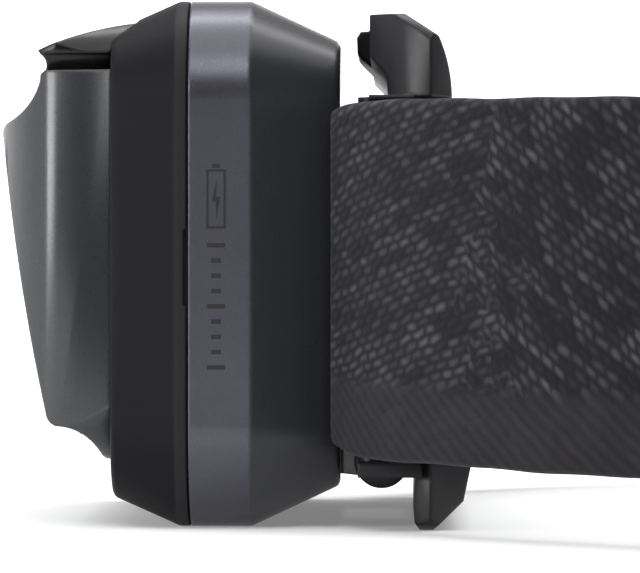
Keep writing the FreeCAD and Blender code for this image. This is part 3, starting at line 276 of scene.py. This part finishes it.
# %% [markdown]
# The room round the table is white behind the lamp and dark behind the
# viewer. Dark plastic shows what it faces, so the dark side keeps the
# near face of the lamp deep and lets its shape read from the highlights.

# %% The room
scene.world = bpy.data.worlds.new("white_room")
scene.world.use_nodes = True
room = scene.world.node_tree
facing = room.nodes.new("ShaderNodeTexCoord")
parts = room.nodes.new("ShaderNodeSeparateXYZ")
fall = room.nodes.new("ShaderNodeMapRange")
fall.inputs["From Min"].default_value = 0.55
fall.inputs["From Max"].default_value = -0.75
fall.inputs["To Min"].default_value = 0.02
fall.inputs["To Max"].default_value = 0.60
room.links.new(facing.outputs["Generated"], parts.inputs[0])
room.links.new(parts.outputs["X"], fall.inputs["Value"])
room.links.new(fall.outputs[0], room.nodes["Background"].inputs["Strength"])
room.nodes["Background"].inputs["Color"].default_value = (0.97, 0.98, 1.0, 1.0)
scene.view_settings.view_transform = "Standard"
scene.view_settings.look = "None"

# %% [markdown]
# ## Moulded plastic
#
# Nearly every part of a lamp like this is injection moulded. The mould is
# spark-eroded, so the plastic has a fine even grain; the colour is nearly
# flat, with faint clouds; and corners are rounded by a few tenths of a
# millimetre and polished by hands. The Bevel node rounds the corners where
# light meets them, and where the rounded normal leaves the true one, the
# plastic is a little brighter and smoother.

# %% Moulded finish
def moulded(name, colour, rough, grain=7.0, depth=0.012, ease=0.25, rub=0.35,
            clouds=0.10, mottle=0.05, level=0.5):
    """A bench with a moulded plastic: grain in lines per mm, grain depth and edge easing in mm."""
    bench = Bench(name)
    fine = bench.noise(grain, 3.0)
    broad = bench.noise(0.12, 4.0)
    eased = bench.add("ShaderNodeBevel", {"Radius": ease * MM}, samples=6)
    true = bench.add("ShaderNodeNewGeometry").outputs["Normal"]
    agree = bench.add("ShaderNodeVectorMath", {0: eased.outputs[0], 1: true}, operation="DOT_PRODUCT")
    corner = bench.spread(agree.outputs["Value"], 1.0, 0.8)
    rubbed = bench.sum("MULTIPLY", corner, bench.spread(broad, 0.35, 0.6, 0.4, 1.0))
    darker = tuple(part * (1 - clouds) for part in colour[:3]) + (1.0,)
    lighter = tuple(part * (1 + clouds) for part in colour[:3]) + (1.0,)
    bright = tuple(min(1.0, part * (1 + rub) + 0.01 * rub) for part in colour[:3]) + (1.0,)
    body = bench.blend(bench.spread(broad, 0.3, 0.7), darker, lighter)
    bench.colour = bench.blend(rubbed, body, bright)
    mottled = bench.spread(fine, 0.3, 0.7, rough - mottle, rough + mottle)
    polished = bench.sum("SUBTRACT", mottled, bench.sum("MULTIPLY", rubbed, 0.10))
    bump = bench.add("ShaderNodeBump", {
        "Strength": 0.6, "Distance": depth * MM, "Height": fine, "Normal": eased.outputs[0]})
    bench.bump = bump
    bench.wear(Base_Color=bench.colour, Roughness=polished, Normal=bump.outputs[0],
               Specular_IOR_Level=level)
    return bench


def dress(node, *benches):
    """Puts finishes in a CAD part's material slots."""
    part = frame["nodes"][node]
    for index, bench in enumerate(benches):
        if index < len(part.material_slots):
            part.material_slots[index].material = bench.material
        else:
            part.data.materials.append(bench.material)
    for index in range(len(benches), len(part.material_slots)):
        part.material_slots[index].material = benches[-1].material


# %% [markdown]
# ## The outer shells
#
# Front cover, brow, black housing, grey rear half and the bracket. Their
# colours are close, and it is mostly the gloss that tells them apart.

# %% Shell finishes
cover_finish = moulded("cover_satin", tone(38, 40, 44), 0.28, grain=9, depth=0.0003, ease=0.35,
                       clouds=0.05, mottle=0.01, level=0.7)
brow_finish = moulded("brow_polished", tone(13, 8, 10), 0.24, grain=5, depth=0.001, ease=0.4,
                      mottle=0.02, level=0.3)
housing_finish = moulded("housing_grained", tone(16, 15, 19), 0.55, grain=6, depth=0.02, ease=0.3,
                         level=0.12)
# The last millimetre of the black housing before the parting line is painted a lighter grey: a painted
# highlight for the light that narrow face catches.
inward = housing_finish.add("ShaderNodeSeparateXYZ", {"Vector": housing_finish.place}).outputs["Y"]
painted_strip_light = housing_finish.spread(inward, PARTING - 1.15 * MM, PARTING - 0.95 * MM)
housing_finish.wear(Base_Color=housing_finish.blend(painted_strip_light, housing_finish.colour, tone(38, 38, 41)))
bracket_finish = moulded("bracket_satin", tone(25, 24, 28), 0.34, grain=8, depth=0.003, ease=0.35,
                         level=0.3)
slider_finish = moulded("slider_acetal", tone(27, 27, 30), 0.40, grain=8, depth=0.006, ease=0.3)

for node, finish in (("front_cover", cover_finish), ("brow_trim", brow_finish),
                     ("front_housing", housing_finish), ("bracket", bracket_finish),
                     ("strap_slider", slider_finish)):
    dress(node, finish)

# %% [markdown]
# The rear half is one moulding in satin graphite paint, with its sparkle of
# fine flakes and its metal on the straight band next to the parting line. On
# the tapered back the flakes and the metal stop, and the colour is painted
# darker: painted shade for the slopes that turn away from the light. The flat
# back face is smoother than the slopes, so it takes a clearer reflection.

# %% Graphite band, with painted shade on the back
BAND_DEEP = 4.4
rear_finish = moulded("rear_graphite", tone(82, 82, 90), 0.31, grain=10, depth=0.005, ease=0.25)
across = rear_finish.add("ShaderNodeSeparateXYZ", {"Vector": rear_finish.place}).outputs["Y"]
behind = rear_finish.spread(across, PARTING + BAND_DEEP * MM, PARTING + (BAND_DEEP + 0.15) * MM)
flakes = rear_finish.add("ShaderNodeTexVoronoi", {
    "Vector": rear_finish.place, "Scale": 9 / MM}, feature="F1")
sparkle = rear_finish.spread(flakes.outputs["Distance"], 0.22, 0.05, 0.0, 0.35)
painted = rear_finish.blend(sparkle, rear_finish.colour, tone(150, 150, 160))
# Behind the band the colour is painted darker, painted shade for the taper that turns away from the
# light.
rear_finish.wear(Base_Color=rear_finish.blend(behind, painted, tone(42, 43, 48)),
                 Metallic=rear_finish.spread(behind, 0.0, 1.0, 0.75, 0.0))
flat_back = rear_finish.spread(across, PARTING + 10.9 * MM, PARTING + 11.0 * MM)
polish = rear_finish.shader.inputs["Roughness"].links[0].from_socket
calmer = rear_finish.spread(flat_back, 0.0, 1.0, 1.0, 0.3)
rear_finish.wear(Roughness=rear_finish.sum("MULTIPLY", polish, calmer))
rear_finish.feed(rear_finish.bump.inputs["Strength"], rear_finish.spread(flat_back, 0.0, 1.0, 0.6, 0.05))
dress("rear_cover", rear_finish)

# %% [markdown]
# ## Corners that a mould would round
#
# The drawing has some knife edges. The cover, the brow, the bracket and the
# slider are the parts where the eye meets them, so each gets a finished
# copy: the flat faces are merged, and a Bevel turns every hard edge into a
# small round. The CAD part stays in place for collisions, and hides.

# %% Rounded copies
def eased_copy(node, body, finish, width, steps=3, sharp=24):
    """A copy of a CAD part with its hard edges rounded by a width in mm."""
    shell = bmesh.new()
    shell.from_mesh(frame["nodes"][node].data)
    bmesh.ops.remove_doubles(shell, verts=shell.verts, dist=0.004 * MM)
    bmesh.ops.dissolve_limit(shell, angle_limit=math.radians(0.8), verts=shell.verts, edges=shell.edges)
    for face in shell.faces:
        face.smooth = True
        face.material_index = 0
    mesh = bpy.data.meshes.new("eased_" + node)
    shell.to_mesh(mesh)
    shell.free()
    mesh.materials.append(finish.material)
    copy = bpy.data.objects.new("eased_" + node, mesh)
    scene.collection.objects.link(copy)
    round_off = copy.modifiers.new("mould_round", "BEVEL")
    round_off.width = width * MM
    round_off.segments = steps
    round_off.limit_method = "ANGLE"
    round_off.angle_limit = math.radians(sharp)
    round_off.use_clamp_overlap = True
    round_off.harden_normals = True
    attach(copy, body)
    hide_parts(node)
    print("rounded", node, len(mesh.polygons), "faces")
    return copy


eased_copy("bracket", "headband", bracket_finish, 0.35)
eased_copy("strap_slider", "slider", slider_finish, 0.3)
eased_copy("brow_trim", "lamp_front", brow_finish, 0.12)
eased_copy("front_cover", "lamp_front", cover_finish, 0.3)

# %% [markdown]
# ## Light, glass and metal inside
#
# The inner parts show through the window and when the lamp is open. The
# reflector is plastic with a bright metal film, the light sources are
# phosphor under clear domes, and the board is green lacquer over copper.

# %% Inner finishes
def metal(name, colour, rough, brushed=(1, 1, 1), lines=3.0):
    """A bench with bare metal: brushed stretches its fine lines along an axis."""
    bench = Bench(name)
    lay = bench.noise(lines, 3.0, brushed)
    eased = bench.add("ShaderNodeBevel", {"Radius": 0.12 * MM}, samples=4)
    bump = bench.add("ShaderNodeBump", {
        "Strength": 0.35, "Distance": 0.004 * MM, "Height": lay, "Normal": eased.outputs[0]})
    dull = tuple(part * 0.8 for part in colour[:3]) + (1.0,)
    bench.wear(Base_Color=bench.blend(bench.spread(lay, 0.3, 0.7), dull, colour), Metallic=1.0,
               Roughness=bench.spread(lay, 0.3, 0.7, rough * 0.8, rough * 1.25),
               Normal=bump.outputs[0])
    return bench


def clear(name, tint, rough=0.04):
    """A bench with clear plastic that lets light through."""
    bench = Bench(name)
    ripple = bench.noise(0.25, 2.0)
    bump = bench.add("ShaderNodeBump", {"Strength": 0.15, "Distance": 0.01 * MM, "Height": ripple})
    bench.wear(Base_Color=tint, Roughness=bench.spread(ripple, 0.3, 0.7, rough, rough * 2),
               Transmission_Weight=1.0, IOR=1.58, Normal=bump.outputs[0])
    return bench


lens_finish = clear("lens_clear", (0.93, 0.95, 0.96, 1.0))
reflector_finish = metal("reflector_film", (0.92, 0.92, 0.94, 1.0), 0.06)
phosphor = moulded("led_phosphor", tone(240, 205, 70), 0.25, grain=4, depth=0.01, ease=0.1)
phosphor.wear(Emission_Color=(1.0, 0.72, 0.15, 1.0), Emission_Strength=0.15)
red_chip = moulded("led_red_chip", tone(200, 30, 28), 0.2, grain=4, depth=0.01, ease=0.1)
red_chip.wear(Emission_Color=(1.0, 0.05, 0.03, 1.0), Emission_Strength=0.10)
seal_finish = moulded("silicone_black", tone(34, 34, 35), 0.62, grain=3, depth=0.02, ease=0.2)
chip_finish = moulded("epoxy_black", tone(30, 30, 31), 0.45, grain=6, depth=0.01, ease=0.08)
cup_finish = moulded("cup_grey", tone(120, 120, 126), 0.30, grain=6, depth=0.006, ease=0.15)
divider_finish = moulded("divider_black", tone(40, 40, 42), 0.5, grain=5, depth=0.012, ease=0.15)
spreader_finish = metal("spreader_rolled", (0.60, 0.60, 0.62, 1.0), 0.32, (1, 1, 12))
screw_finish = metal("screw_zinc", (0.42, 0.42, 0.44, 1.0), 0.30)
socket_finish = metal("socket_plate", (0.62, 0.61, 0.60, 1.0), 0.24, (10, 1, 1))
nickel_finish = metal("contact_nickel", (0.70, 0.67, 0.61, 1.0), 0.28, (1, 10, 1))
pin_finish = metal("pin_ground", (0.52, 0.52, 0.53, 1.0), 0.22, (12, 1, 1))

# %% [markdown]
# The board's lacquer shows the copper tracks under it as slightly lighter
# lines, and the button and flap are soft rubber with a fine bead-blast.

# %% Board, rubber and cells
board_finish = Bench("board_lacquer")
grid = board_finish.add("ShaderNodeTexBrick", {
    "Vector": board_finish.place, "Scale": 0.45 / MM, "Mortar Size": 0.03,
    "Color1": tone(20, 82, 48), "Color2": tone(16, 70, 42), "Mortar": tone(44, 120, 74)})
board_bump = board_finish.add("ShaderNodeBump", {
    "Strength": 0.4, "Distance": 0.03 * MM, "Height": grid.outputs["Fac"]})
board_finish.wear(Base_Color=grid.outputs["Color"], Roughness=0.28, Normal=board_bump.outputs[0],
                  Coat_Weight=0.4)

button_finish = moulded("button_rubber", tone(50, 50, 54), 0.55, grain=5, depth=0.03, ease=0.3)
flap_finish = moulded("flap_rubber", tone(38, 38, 40), 0.6, grain=5, depth=0.03, ease=0.2)

cell_finish = moulded("cell_sleeve", tone(52, 66, 60), 0.3, grain=2, depth=0.01, ease=0.2)
end_on = cell_finish.add("ShaderNodeSeparateXYZ", {"Vector": cell_finish.place}).outputs["X"]
ring = cell_finish.spread(cell_finish.sum("ABSOLUTE", end_on), 19.6 * MM, 19.8 * MM)
cell_finish.wear(Base_Color=cell_finish.blend(ring, cell_finish.colour, tone(170, 170, 168)))

for nodes, finish in ((("lens_window",), lens_finish), (("reflector",), reflector_finish),
                      (("main_led", "flood_led"), phosphor), (("red_led",), red_chip),
                      (("lens_seal", "housing_seal"), seal_finish),
                      (("board_parts", "dome_switch"), chip_finish),
                      (("flood_cup", "red_cup"), cup_finish), (("cell_divider",), divider_finish),
                      (("heat_spreader",), spreader_finish),
                      (("board_screws", "cover_screws"), screw_finish),
                      (("charge_socket",), socket_finish),
                      (("contact_plates", "contact_springs"), nickel_finish),
                      (("tilt_pins", "door_pin"), pin_finish),
                      (("led_board", "control_board"), board_finish),
                      (("power_button",), button_finish), (("port_flap",), flap_finish),
                      (("snap_catch",), divider_finish),
                      (("cell_top", "cell_middle", "cell_bottom"), cell_finish)):
    for node in nodes:
        dress(node, finish)
print("finished", len(frame["nodes"]), "CAD parts")

# %% [markdown]
# ## The headband
#
# The band is elastic webbing, one piece. On the near side its tail comes
# forward inside the outer layer, folds round the bracket's bar and runs back
# over itself; on the far side it folds again and is sewn down. Its middle
# line is drawn as arcs and straights, and a flat rounded section is carried
# along it, so the folds are true folds and the edges have thickness.

# %% The band's route
FOLD_RADIUS = 2.55
BAR = (29.2, 13.75)
LEAN = math.radians(22)
SIDE_RADIUS = 70.0
THICK = 1.5
BACK = 185.6
WIDE = 26.0
LAYER_GAP = 1.95
TAIL_TO = 112.0


def arc(centre, radius, start, stop):
    """A stretch of the route that turns, from one angle to another in degrees."""
    return ("arc", centre, radius, start, stop)


def run(start, stop):
    """A straight stretch of the route."""
    return ("run", start, stop)


def along(spot, direction, distance):
    """The point a distance from a spot."""
    return (spot[0] + direction[0] * distance, spot[1] + direction[1] * distance)


def half_route(with_tail):
    """One side of the band, from its tail round the bar to the middle of the back."""
    inward = (-math.sin(LEAN), math.cos(LEAN))
    lean = math.degrees(LEAN)
    outer_centre = along(BAR, inward, SIDE_RADIUS - FOLD_RADIUS)
    widest = outer_centre[0] + SIDE_RADIUS
    back = BACK - THICK / 2 - widest
    settled = 50.0 if with_tail else 24.0
    settle = (2 * FOLD_RADIUS - LAYER_GAP) / (1 - math.cos(math.radians(settled)))
    inner_radius = SIDE_RADIUS - 2 * FOLD_RADIUS + settle
    inner_centre = along(BAR, inward, FOLD_RADIUS + inner_radius)
    turned = math.radians(lean - 90 + settled)
    out = (math.cos(turned), math.sin(turned))
    route = []
    if with_tail:
        follow = SIDE_RADIUS - LAYER_GAP
        follow_centre = along(along(inner_centre, out, inner_radius), out, -follow)
        last = (follow_centre[0] + follow, follow_centre[1])
        route.append(run((last[0], TAIL_TO), last))
        route.append(arc(follow_centre, follow, 0, lean - 90 + settled))
    route.append(arc(inner_centre, inner_radius, lean - 90 + settled, lean - 90))
    route.append(arc(BAR, FOLD_RADIUS, lean + 90, lean + 270))
    route.append(arc(outer_centre, SIDE_RADIUS, lean - 90, 0))
    route.append(run((widest, outer_centre[1]), (widest, back)))
    route.append(arc((0, back), widest, 0, 90))
    return route


def sampled(route, step):
    """Points along a route, each with the direction that faces out of the band."""
    points = []
    for stretch in route:
        if stretch[0] == "run":
            (x0, y0), (x1, y1) = stretch[1:]
            length = math.hypot(x1 - x0, y1 - y0)
            count = max(2, round(length / (step * 2)))
            for index in range(count):
                share = (index + 0.5) / count
                points.append((x0 + (x1 - x0) * share, y0 + (y1 - y0) * share))
            continue
        centre, radius, start, stop = stretch[1:]
        length = abs(math.radians(stop - start)) * radius
        count = max(12, round(length / step))
        for index in range(count):
            turn = math.radians(start + (stop - start) * (index + 0.5) / count)
            points.append((centre[0] + radius * math.cos(turn), centre[1] + radius * math.sin(turn)))
    return points


near_side = sampled(half_route(True), 0.45)
far_side = [(-x, y) for x, y in reversed(sampled(half_route(False), 0.9))]
middle_line = near_side + far_side
print("band drawn with", len(middle_line), "sections")

# %% [markdown]
# ## The band's section
#
# The lower edge falls slowly towards the back of the head, where it rests
# on the table, so each section is placed by how far back it lies. Between
# its two faces the edge is a half round, as a woven selvage is.

# %% The section
FALL = math.tan(math.radians(1.783))
ACROSS = 58
ROUND = 5


def lower_edge(y):
    """Height of the band's lower edge at a distance behind the parting plane."""
    return (BACK - y) * FALL


def section_points():
    """The section as (height, offset) pairs: up the outer face, over the top and down the inner."""
    half = THICK / 2
    points = []
    for index in range(ACROSS):
        points.append((half + (WIDE - THICK) * index / (ACROSS - 1), half))
    for index in range(1, ROUND):
        turn = math.pi * index / ROUND
        points.append((WIDE - half + half * math.sin(turn), half * math.cos(turn)))
    for index in range(ACROSS // 2):
        points.append((WIDE - half - (WIDE - THICK) * index / (ACROSS // 2 - 1), -half))
    for index in range(1, ROUND):
        turn = math.pi * index / ROUND
        points.append((half - half * math.sin(turn), -half * math.cos(turn)))
    return points


outline = section_points()
print("section of", len(outline), "points")

# %% [markdown]
# Cut webbing is never quite regular. The outer face carries a low swelling
# for every few yarns, the edges wander by a tenth of a millimetre, and at
# the near fold the two corners are drawn in by the tension.

# %% Small irregularities
SWELL = 0.05
DRAWN_OVER = 16.0
LOW_CORNER_IN = 0.75
HIGH_CORNER_IN = 0.45
fold_index = min(range(len(near_side)), key=lambda spot: near_side[spot][1])


def wander(distance, seed):
    """A slow small wave along the band, in millimetres."""
    return 0.07 * math.sin(distance / 3.1 + seed) + 0.05 * math.sin(distance / 1.27 + 2 * seed)


def fold_taper(index):
    """How much the band's corners are drawn in at the near fold, from 0 to 1."""
    return max(0.0, 1.0 - abs(index - fold_index) / DRAWN_OVER)


def section_at(x, y, side, distance, drawn_in):
    """The section's points at one place on the route, out along side."""
    row = []
    for height, offset in outline:
        share = height / WIDE
        shift = wander(distance, 0.4) * (1 - share) + wander(distance, 2.2) * share
        low_in = LOW_CORNER_IN * drawn_in ** 2 * (1 - share) ** 6
        lift = low_in - HIGH_CORNER_IN * drawn_in ** 2 * share ** 8
        swell = SWELL * math.sin(distance * 2.1 + height * 3.7) * math.sin(height * 5.3)
        out = offset + math.copysign(swell, offset) * (abs(offset) > 0.6)
        row.append(lamp(x + side.x * out, y + side.y * out,
                        lower_edge(y) + height + shift * 0.6 + lift))
    return row


# %% [markdown]
# One section stands at every point of the route, turned to face out of the
# band. The distance along the band is kept for each, for the weave's map.

# %% Sections along the route
count = len(middle_line)
rows, travelled, distances = [], 0.0, []
for index, (x, y) in enumerate(middle_line):
    before = middle_line[max(0, index - 1)]
    after = middle_line[min(count - 1, index + 1)]
    ahead = Vector((after[0] - before[0], after[1] - before[1])).normalized()
    if index:
        travelled += math.dist(before, (x, y))
    distances.append(travelled)
    rows.append(section_at(x, y, Vector((ahead.y, -ahead.x)), travelled, fold_taper(index)))
print("band", round(travelled, 1), "mm long")

# %% [markdown]
# The sections are joined into one closed skin. Its map holds millimetres
# along the band and up it, so a weave can be drawn at its true size; the
# inner face is mapped 40 mm higher, which keeps the two faces apart.

# %% Mesh and map
INNER_MAP = 40.0
band_mesh = bpy.data.meshes.new("headband_webbing")
points, faces = [], []
wide = len(outline)
for row in rows:
    points.extend(row)
for index in range(count - 1):
    for step in range(wide):
        following = (step + 1) % wide
        faces.append((index * wide + step, (index + 1) * wide + step,
                      (index + 1) * wide + following, index * wide + following))
faces.append(tuple(range(wide)))
faces.append(tuple((count - 1) * wide + step for step in range(wide))[::-1])
band_mesh.from_pydata(points, [], faces)
uv_layer = band_mesh.uv_layers.new(name="band_map")
for face in band_mesh.polygons:
    for corner in face.loop_indices:
        spot = band_mesh.loops[corner].vertex_index
        height, offset = outline[spot % wide]
        uv_layer.data[corner].uv = (distances[spot // wide], height + (INNER_MAP if offset < 0 else 0.0))
    face.use_smooth = len(face.vertices) == 4
fixer = bmesh.new()
fixer.from_mesh(band_mesh)
bmesh.ops.recalc_face_normals(fixer, faces=fixer.faces)
fixer.to_mesh(band_mesh)
fixer.free()
band = bpy.data.objects.new("headband_webbing", band_mesh)
scene.collection.objects.link(band)
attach(band, "headband")
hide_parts("headband_strap")
print("band of", len(faces), "faces")

# %% [markdown]
# ## The weave
#
# Webbing of this kind shows short floats of yarn, one row above another,
# each row stepped along a little, so the eye sees diagonals. Dark and light
# yarns are mixed, which gives the flecks. Near the fold the rows rise and
# further on they fall. The map on the band is in millimetres, so a row's
# number is height over row height, and a float's is distance over pitch.

# %% Map of the band
weave = Bench("band_weave")
band_map = weave.add("ShaderNodeUVMap", uv_map="band_map").outputs[0]
flat = weave.add("ShaderNodeSeparateXYZ", {"Vector": band_map})
length_at, height_at = flat.outputs["X"], flat.outputs["Y"]


def centred(value, size):
    """A noise moved to run evenly either side of nothing."""
    return weave.sum("MULTIPLY", weave.sum("SUBTRACT", value, 0.5), size)


sway = centred(weave.noise(0.22, 2.0), 1.1)
ruffle = centred(weave.noise(0.55, 1.0), 0.55)
height_here = weave.sum("ADD", height_at, weave.sum("MULTIPLY_ADD", sway, 0.35, ruffle))

# %% [markdown]
# A float is a soft oval lying along its row. Its shade is drawn by lot, half
# for the float and half for a run of three, because one yarn is picked up
# several times before it dives to the back.

# %% Yarn floats
def swelling(share, power):
    """Rises from 0 to 1 and back as a share goes from 0 to 1."""
    return weave.sum("POWER", weave.sum("SINE", weave.sum("MULTIPLY", share, math.pi)), power)


def lot(first, second, seed):
    """A random number from 0 to 1 for each pair of whole numbers."""
    where = weave.add("ShaderNodeCombineXYZ", {"X": first, "Y": second, "Z": seed})
    return weave.add("ShaderNodeTexWhiteNoise", {"Vector": where.outputs[0]},
                     noise_dimensions="3D").outputs["Value"]


def floats(slope, row_high, pitch, stagger):
    """Rows of floats that fall by slope along the band: their relief and their shade."""
    line = weave.sum("DIVIDE", weave.sum("MULTIPLY_ADD", length_at, slope, height_here), row_high)
    row = weave.sum("FLOOR", line)
    stepped = weave.sum("MULTIPLY_ADD", row, stagger * pitch, length_at)
    drift = weave.sum("MULTIPLY_ADD", ruffle, 1.2, sway)
    swayed = weave.sum("DIVIDE", weave.sum("ADD", stepped, drift), pitch)
    cell = weave.sum("FLOOR", swayed)
    rise = weave.sum("MULTIPLY", swelling(weave.sum("FRACT", swayed), 1.2),
                     swelling(weave.sum("FRACT", line), 1.8))
    threes = weave.sum("FLOOR", weave.sum("DIVIDE", cell, 3.0))
    own = weave.sum("MULTIPLY", lot(cell, row, slope), 0.65)
    return rise, weave.sum("MULTIPLY_ADD", lot(threes, row, slope + 5), 0.35, own)


near_rise, near_shade = floats(-0.24, 0.70, 1.55, 0.5)
far_rise, far_shade = floats(0.62, 0.88, 1.15, 0.36)
RISING_TO = distances[fold_index] + 23.0
loose = weave.sum("MULTIPLY_ADD", ruffle, 40.0, weave.sum("MULTIPLY_ADD", sway, 12.0, length_at))
further = weave.spread(loose, RISING_TO - 1.5, RISING_TO + 1.5)
rise = weave.add("ShaderNodeMix", {0: further, 2: near_rise, 3: far_rise}).outputs[0]
shade = weave.add("ShaderNodeMix", {0: further, 2: near_shade, 3: far_shade}).outputs[0]

# %% [markdown]
# A narrow border along the bottom is plain ribbing in one shade. Between the
# yarns the band is painted nearly black, painted shade in the weave's
# hollows; the fibres themselves are matt, with a little fluff that catches
# the light at the rim.

# %% Border and weave finish
BORDER = 5.4
RIB_PITCH = 1.5
rib_line = weave.sum("MULTIPLY_ADD", height_here, 1.35, length_at)
ribs = weave.sum("SINE", weave.sum("MULTIPLY", rib_line, 2 * math.pi / RIB_PITCH))
rib_rise = weave.spread(ribs, -1.0, 1.0, 0.4, 0.85)
up_from_edge = weave.sum("MODULO", height_here, INNER_MAP)
in_border = weave.spread(weave.sum("MULTIPLY_ADD", sway, 0.8, up_from_edge), BORDER + 0.6, BORDER - 0.6)
relief = weave.add("ShaderNodeMix", {0: in_border, 2: rise, 3: rib_rise}).outputs[0]

patches = weave.sum("ADD", centred(weave.noise(0.30, 3.0), 0.9), centred(weave.noise(0.16, 2.0), 0.8))
fleck = weave.spread(weave.sum("ADD", shade, patches), 0.25, 0.95)
fibre = weave.noise(9.0, 2.0)
strand = weave.spread(fibre, 0.3, 0.7)
dark_yarn = weave.blend(strand, tone(17, 15, 18), tone(26, 23, 28))
light_yarn = weave.blend(strand, tone(57, 55, 62), tone(76, 73, 82))
border_yarn = weave.blend(strand, tone(31, 29, 33), tone(39, 37, 42))
yarn = weave.blend(in_border, weave.blend(fleck, dark_yarn, light_yarn), border_yarn)
# Low places between the floats are painted near black: painted shade in the hollows of the weave.
coloured = weave.blend(weave.spread(relief, 0.0, 0.9), tone(15, 14, 16), yarn)
high = weave.sum("MULTIPLY_ADD", fibre, 0.2, relief)
weave_bump = weave.add("ShaderNodeBump", {"Strength": 0.4, "Distance": 0.12 * MM, "Height": high})
weave.wear(Base_Color=coloured, Roughness=weave.spread(fleck, 0.0, 1.0, 0.92, 0.80),
           Normal=weave_bump.outputs[0], Specular_IOR_Level=0.25,
           Sheen_Weight=0.08, Sheen_Roughness=0.5, Sheen_Tint=tone(190, 188, 196))
band_mesh.materials.append(weave.material)

# %% [markdown]
# ## Sewing the far end down
#
# On the far side the band's end is sewn to the layer it lies against. Two
# zigzag rows of bonded thread do it, so each stitch is a short arched stub
# that dives into the webbing at both ends.

# %% Tail stitching
THREAD = 0.22
STITCHES = 15
ROW_TURNS = (-52.5, -49.0)
ZIGZAG = 0.7
SEWN_FROM = 2.4
SEWN_OVER = 21.0
ARCH = 0.22
SUNK = 0.12


def on_far_side(turn, height, proud):
    """A point by the outer face of the far side's bend, at a turn in degrees."""
    centre = along(BAR, (-math.sin(LEAN), math.cos(LEAN)), SIDE_RADIUS - FOLD_RADIUS)
    reach = SIDE_RADIUS + THICK / 2 + proud
    x = -(centre[0] + reach * math.cos(math.radians(turn)))
    y = centre[1] + reach * math.sin(math.radians(turn))
    return lamp(x, y, lower_edge(y) + height)


def stitch_ring(mesh, middle, ahead, radius):
    """Six points round the thread, square to the way it runs."""
    across = ahead.cross(Vector((0, 1, 0))).normalized()
    up = across.cross(ahead).normalized()
    ring_at = []
    for index in range(6):
        turn = math.tau * index / 6
        ring_at.append(mesh.verts.new(middle + (across * math.cos(turn) + up * math.sin(turn)) * radius))
    return ring_at


threads = bmesh.new()
for row_turn in ROW_TURNS:
    for number in range(STITCHES):
        lean_way = ZIGZAG if number % 2 else -ZIGZAG
        low = SEWN_FROM + SEWN_OVER * number / STITCHES
        spots = [on_far_side(row_turn + lean_way * (2 * share - 1), low + SEWN_OVER / STITCHES * share,
                             ARCH * math.sin(math.pi * share) - SUNK)
                 for share in (0.0, 0.2, 0.5, 0.8, 1.0)]
        rings = [stitch_ring(threads, spot, spots[-1] - spots[0], THREAD * MM) for spot in spots]
        for low_ring, high_ring in zip(rings, rings[1:]):
            for index in range(6):
                after = (index + 1) % 6
                threads.faces.new((low_ring[index], low_ring[after], high_ring[after], high_ring[index]))
        threads.faces.new(rings[0][::-1])
        threads.faces.new(rings[-1])
bmesh.ops.recalc_face_normals(threads, faces=threads.faces)
thread_mesh = bpy.data.meshes.new("tail_stitching")
threads.to_mesh(thread_mesh)
threads.free()
for face in thread_mesh.polygons:
    face.use_smooth = True
stitching = bpy.data.objects.new("tail_stitching", thread_mesh)
scene.collection.objects.link(stitching)
thread_finish = moulded("bonded_thread", tone(52, 50, 56), 0.55, grain=5, depth=0.03, ease=0.05,
                        level=0.3)
thread_mesh.materials.append(thread_finish.material)
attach(stitching, "headband")
print("sewn", STITCHES * len(ROW_TURNS), "stitches")

# %% [markdown]
# ## The printed mark
#
# A lamp that charges usually says so on its side. Here a small picture says
# it: a battery outline, a spark, and a row of level bars. The print is a
# skin of ink that stands two hundredths of a millimetre above the paint.

# %% Printed mark
SIDE = 30.0
INK = 0.02
MARK_AT = 2.05


def inked(name, shapes):
    """Flat ink shapes on the near side, each a ring of (depth, height) points."""
    print_mesh = bmesh.new()
    for ring_points in shapes:
        top = [print_mesh.verts.new(lamp(SIDE + INK, MARK_AT + y, z)) for y, z in ring_points]
        low = [print_mesh.verts.new(lamp(SIDE - INK, MARK_AT + y, z)) for y, z in ring_points]
        print_mesh.faces.new(top)
        print_mesh.faces.new(low[::-1])
        for index in range(len(top)):
            after = (index + 1) % len(top)
            print_mesh.faces.new((top[index], low[index], low[after], top[after]))
    bmesh.ops.recalc_face_normals(print_mesh, faces=print_mesh.faces)
    mesh = bpy.data.meshes.new(name)
    print_mesh.to_mesh(mesh)
    print_mesh.free()
    mark = bpy.data.objects.new(name, mesh)
    scene.collection.objects.link(mark)
    return mark


def bar(y0, z0, y1, z1):
    """The four corners of an upright rectangle."""
    return [(y0, z0), (y1, z0), (y1, z1), (y0, z1)]


LINE = 0.18
CASE_HALF = 0.72
CASE_LOW = 22.12
CASE_HIGH = 26.48
LEVELS = 9
LEVEL_TOP = 20.9
LEVEL_PITCH = 1.12

shapes = [bar(-CASE_HALF, CASE_LOW + LINE, -CASE_HALF + LINE, CASE_HIGH - LINE),
          bar(CASE_HALF - LINE, CASE_LOW + LINE, CASE_HALF, CASE_HIGH - LINE),
          bar(-CASE_HALF, CASE_LOW, CASE_HALF, CASE_LOW + LINE),
          bar(-CASE_HALF, CASE_HIGH - LINE, CASE_HALF, CASE_HIGH),
          bar(-0.30, CASE_HIGH + 0.08, 0.30, CASE_HIGH + 0.38)]
spark = [(0.02, 22.75), (0.32, 24.45), (0.02, 24.45), (0.06, 25.85), (-0.32, 24.1), (-0.02, 24.1)]
shapes.append(spark)
for step in range(LEVELS):
    half = 0.66 if step % 4 == 0 else 0.36
    height = LEVEL_TOP - LEVEL_PITCH * step
    shapes.append(bar(-half, height - 0.17, half, height + 0.17))
mark = inked("charge_mark", shapes)
ink_finish = moulded("ink_dark", tone(38, 38, 43), 0.5, grain=9, depth=0.004, ease=0.02, level=0.3)
mark.data.materials.append(ink_finish.material)
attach(mark, "lamp_rear")
print("printed", len(shapes), "shapes")
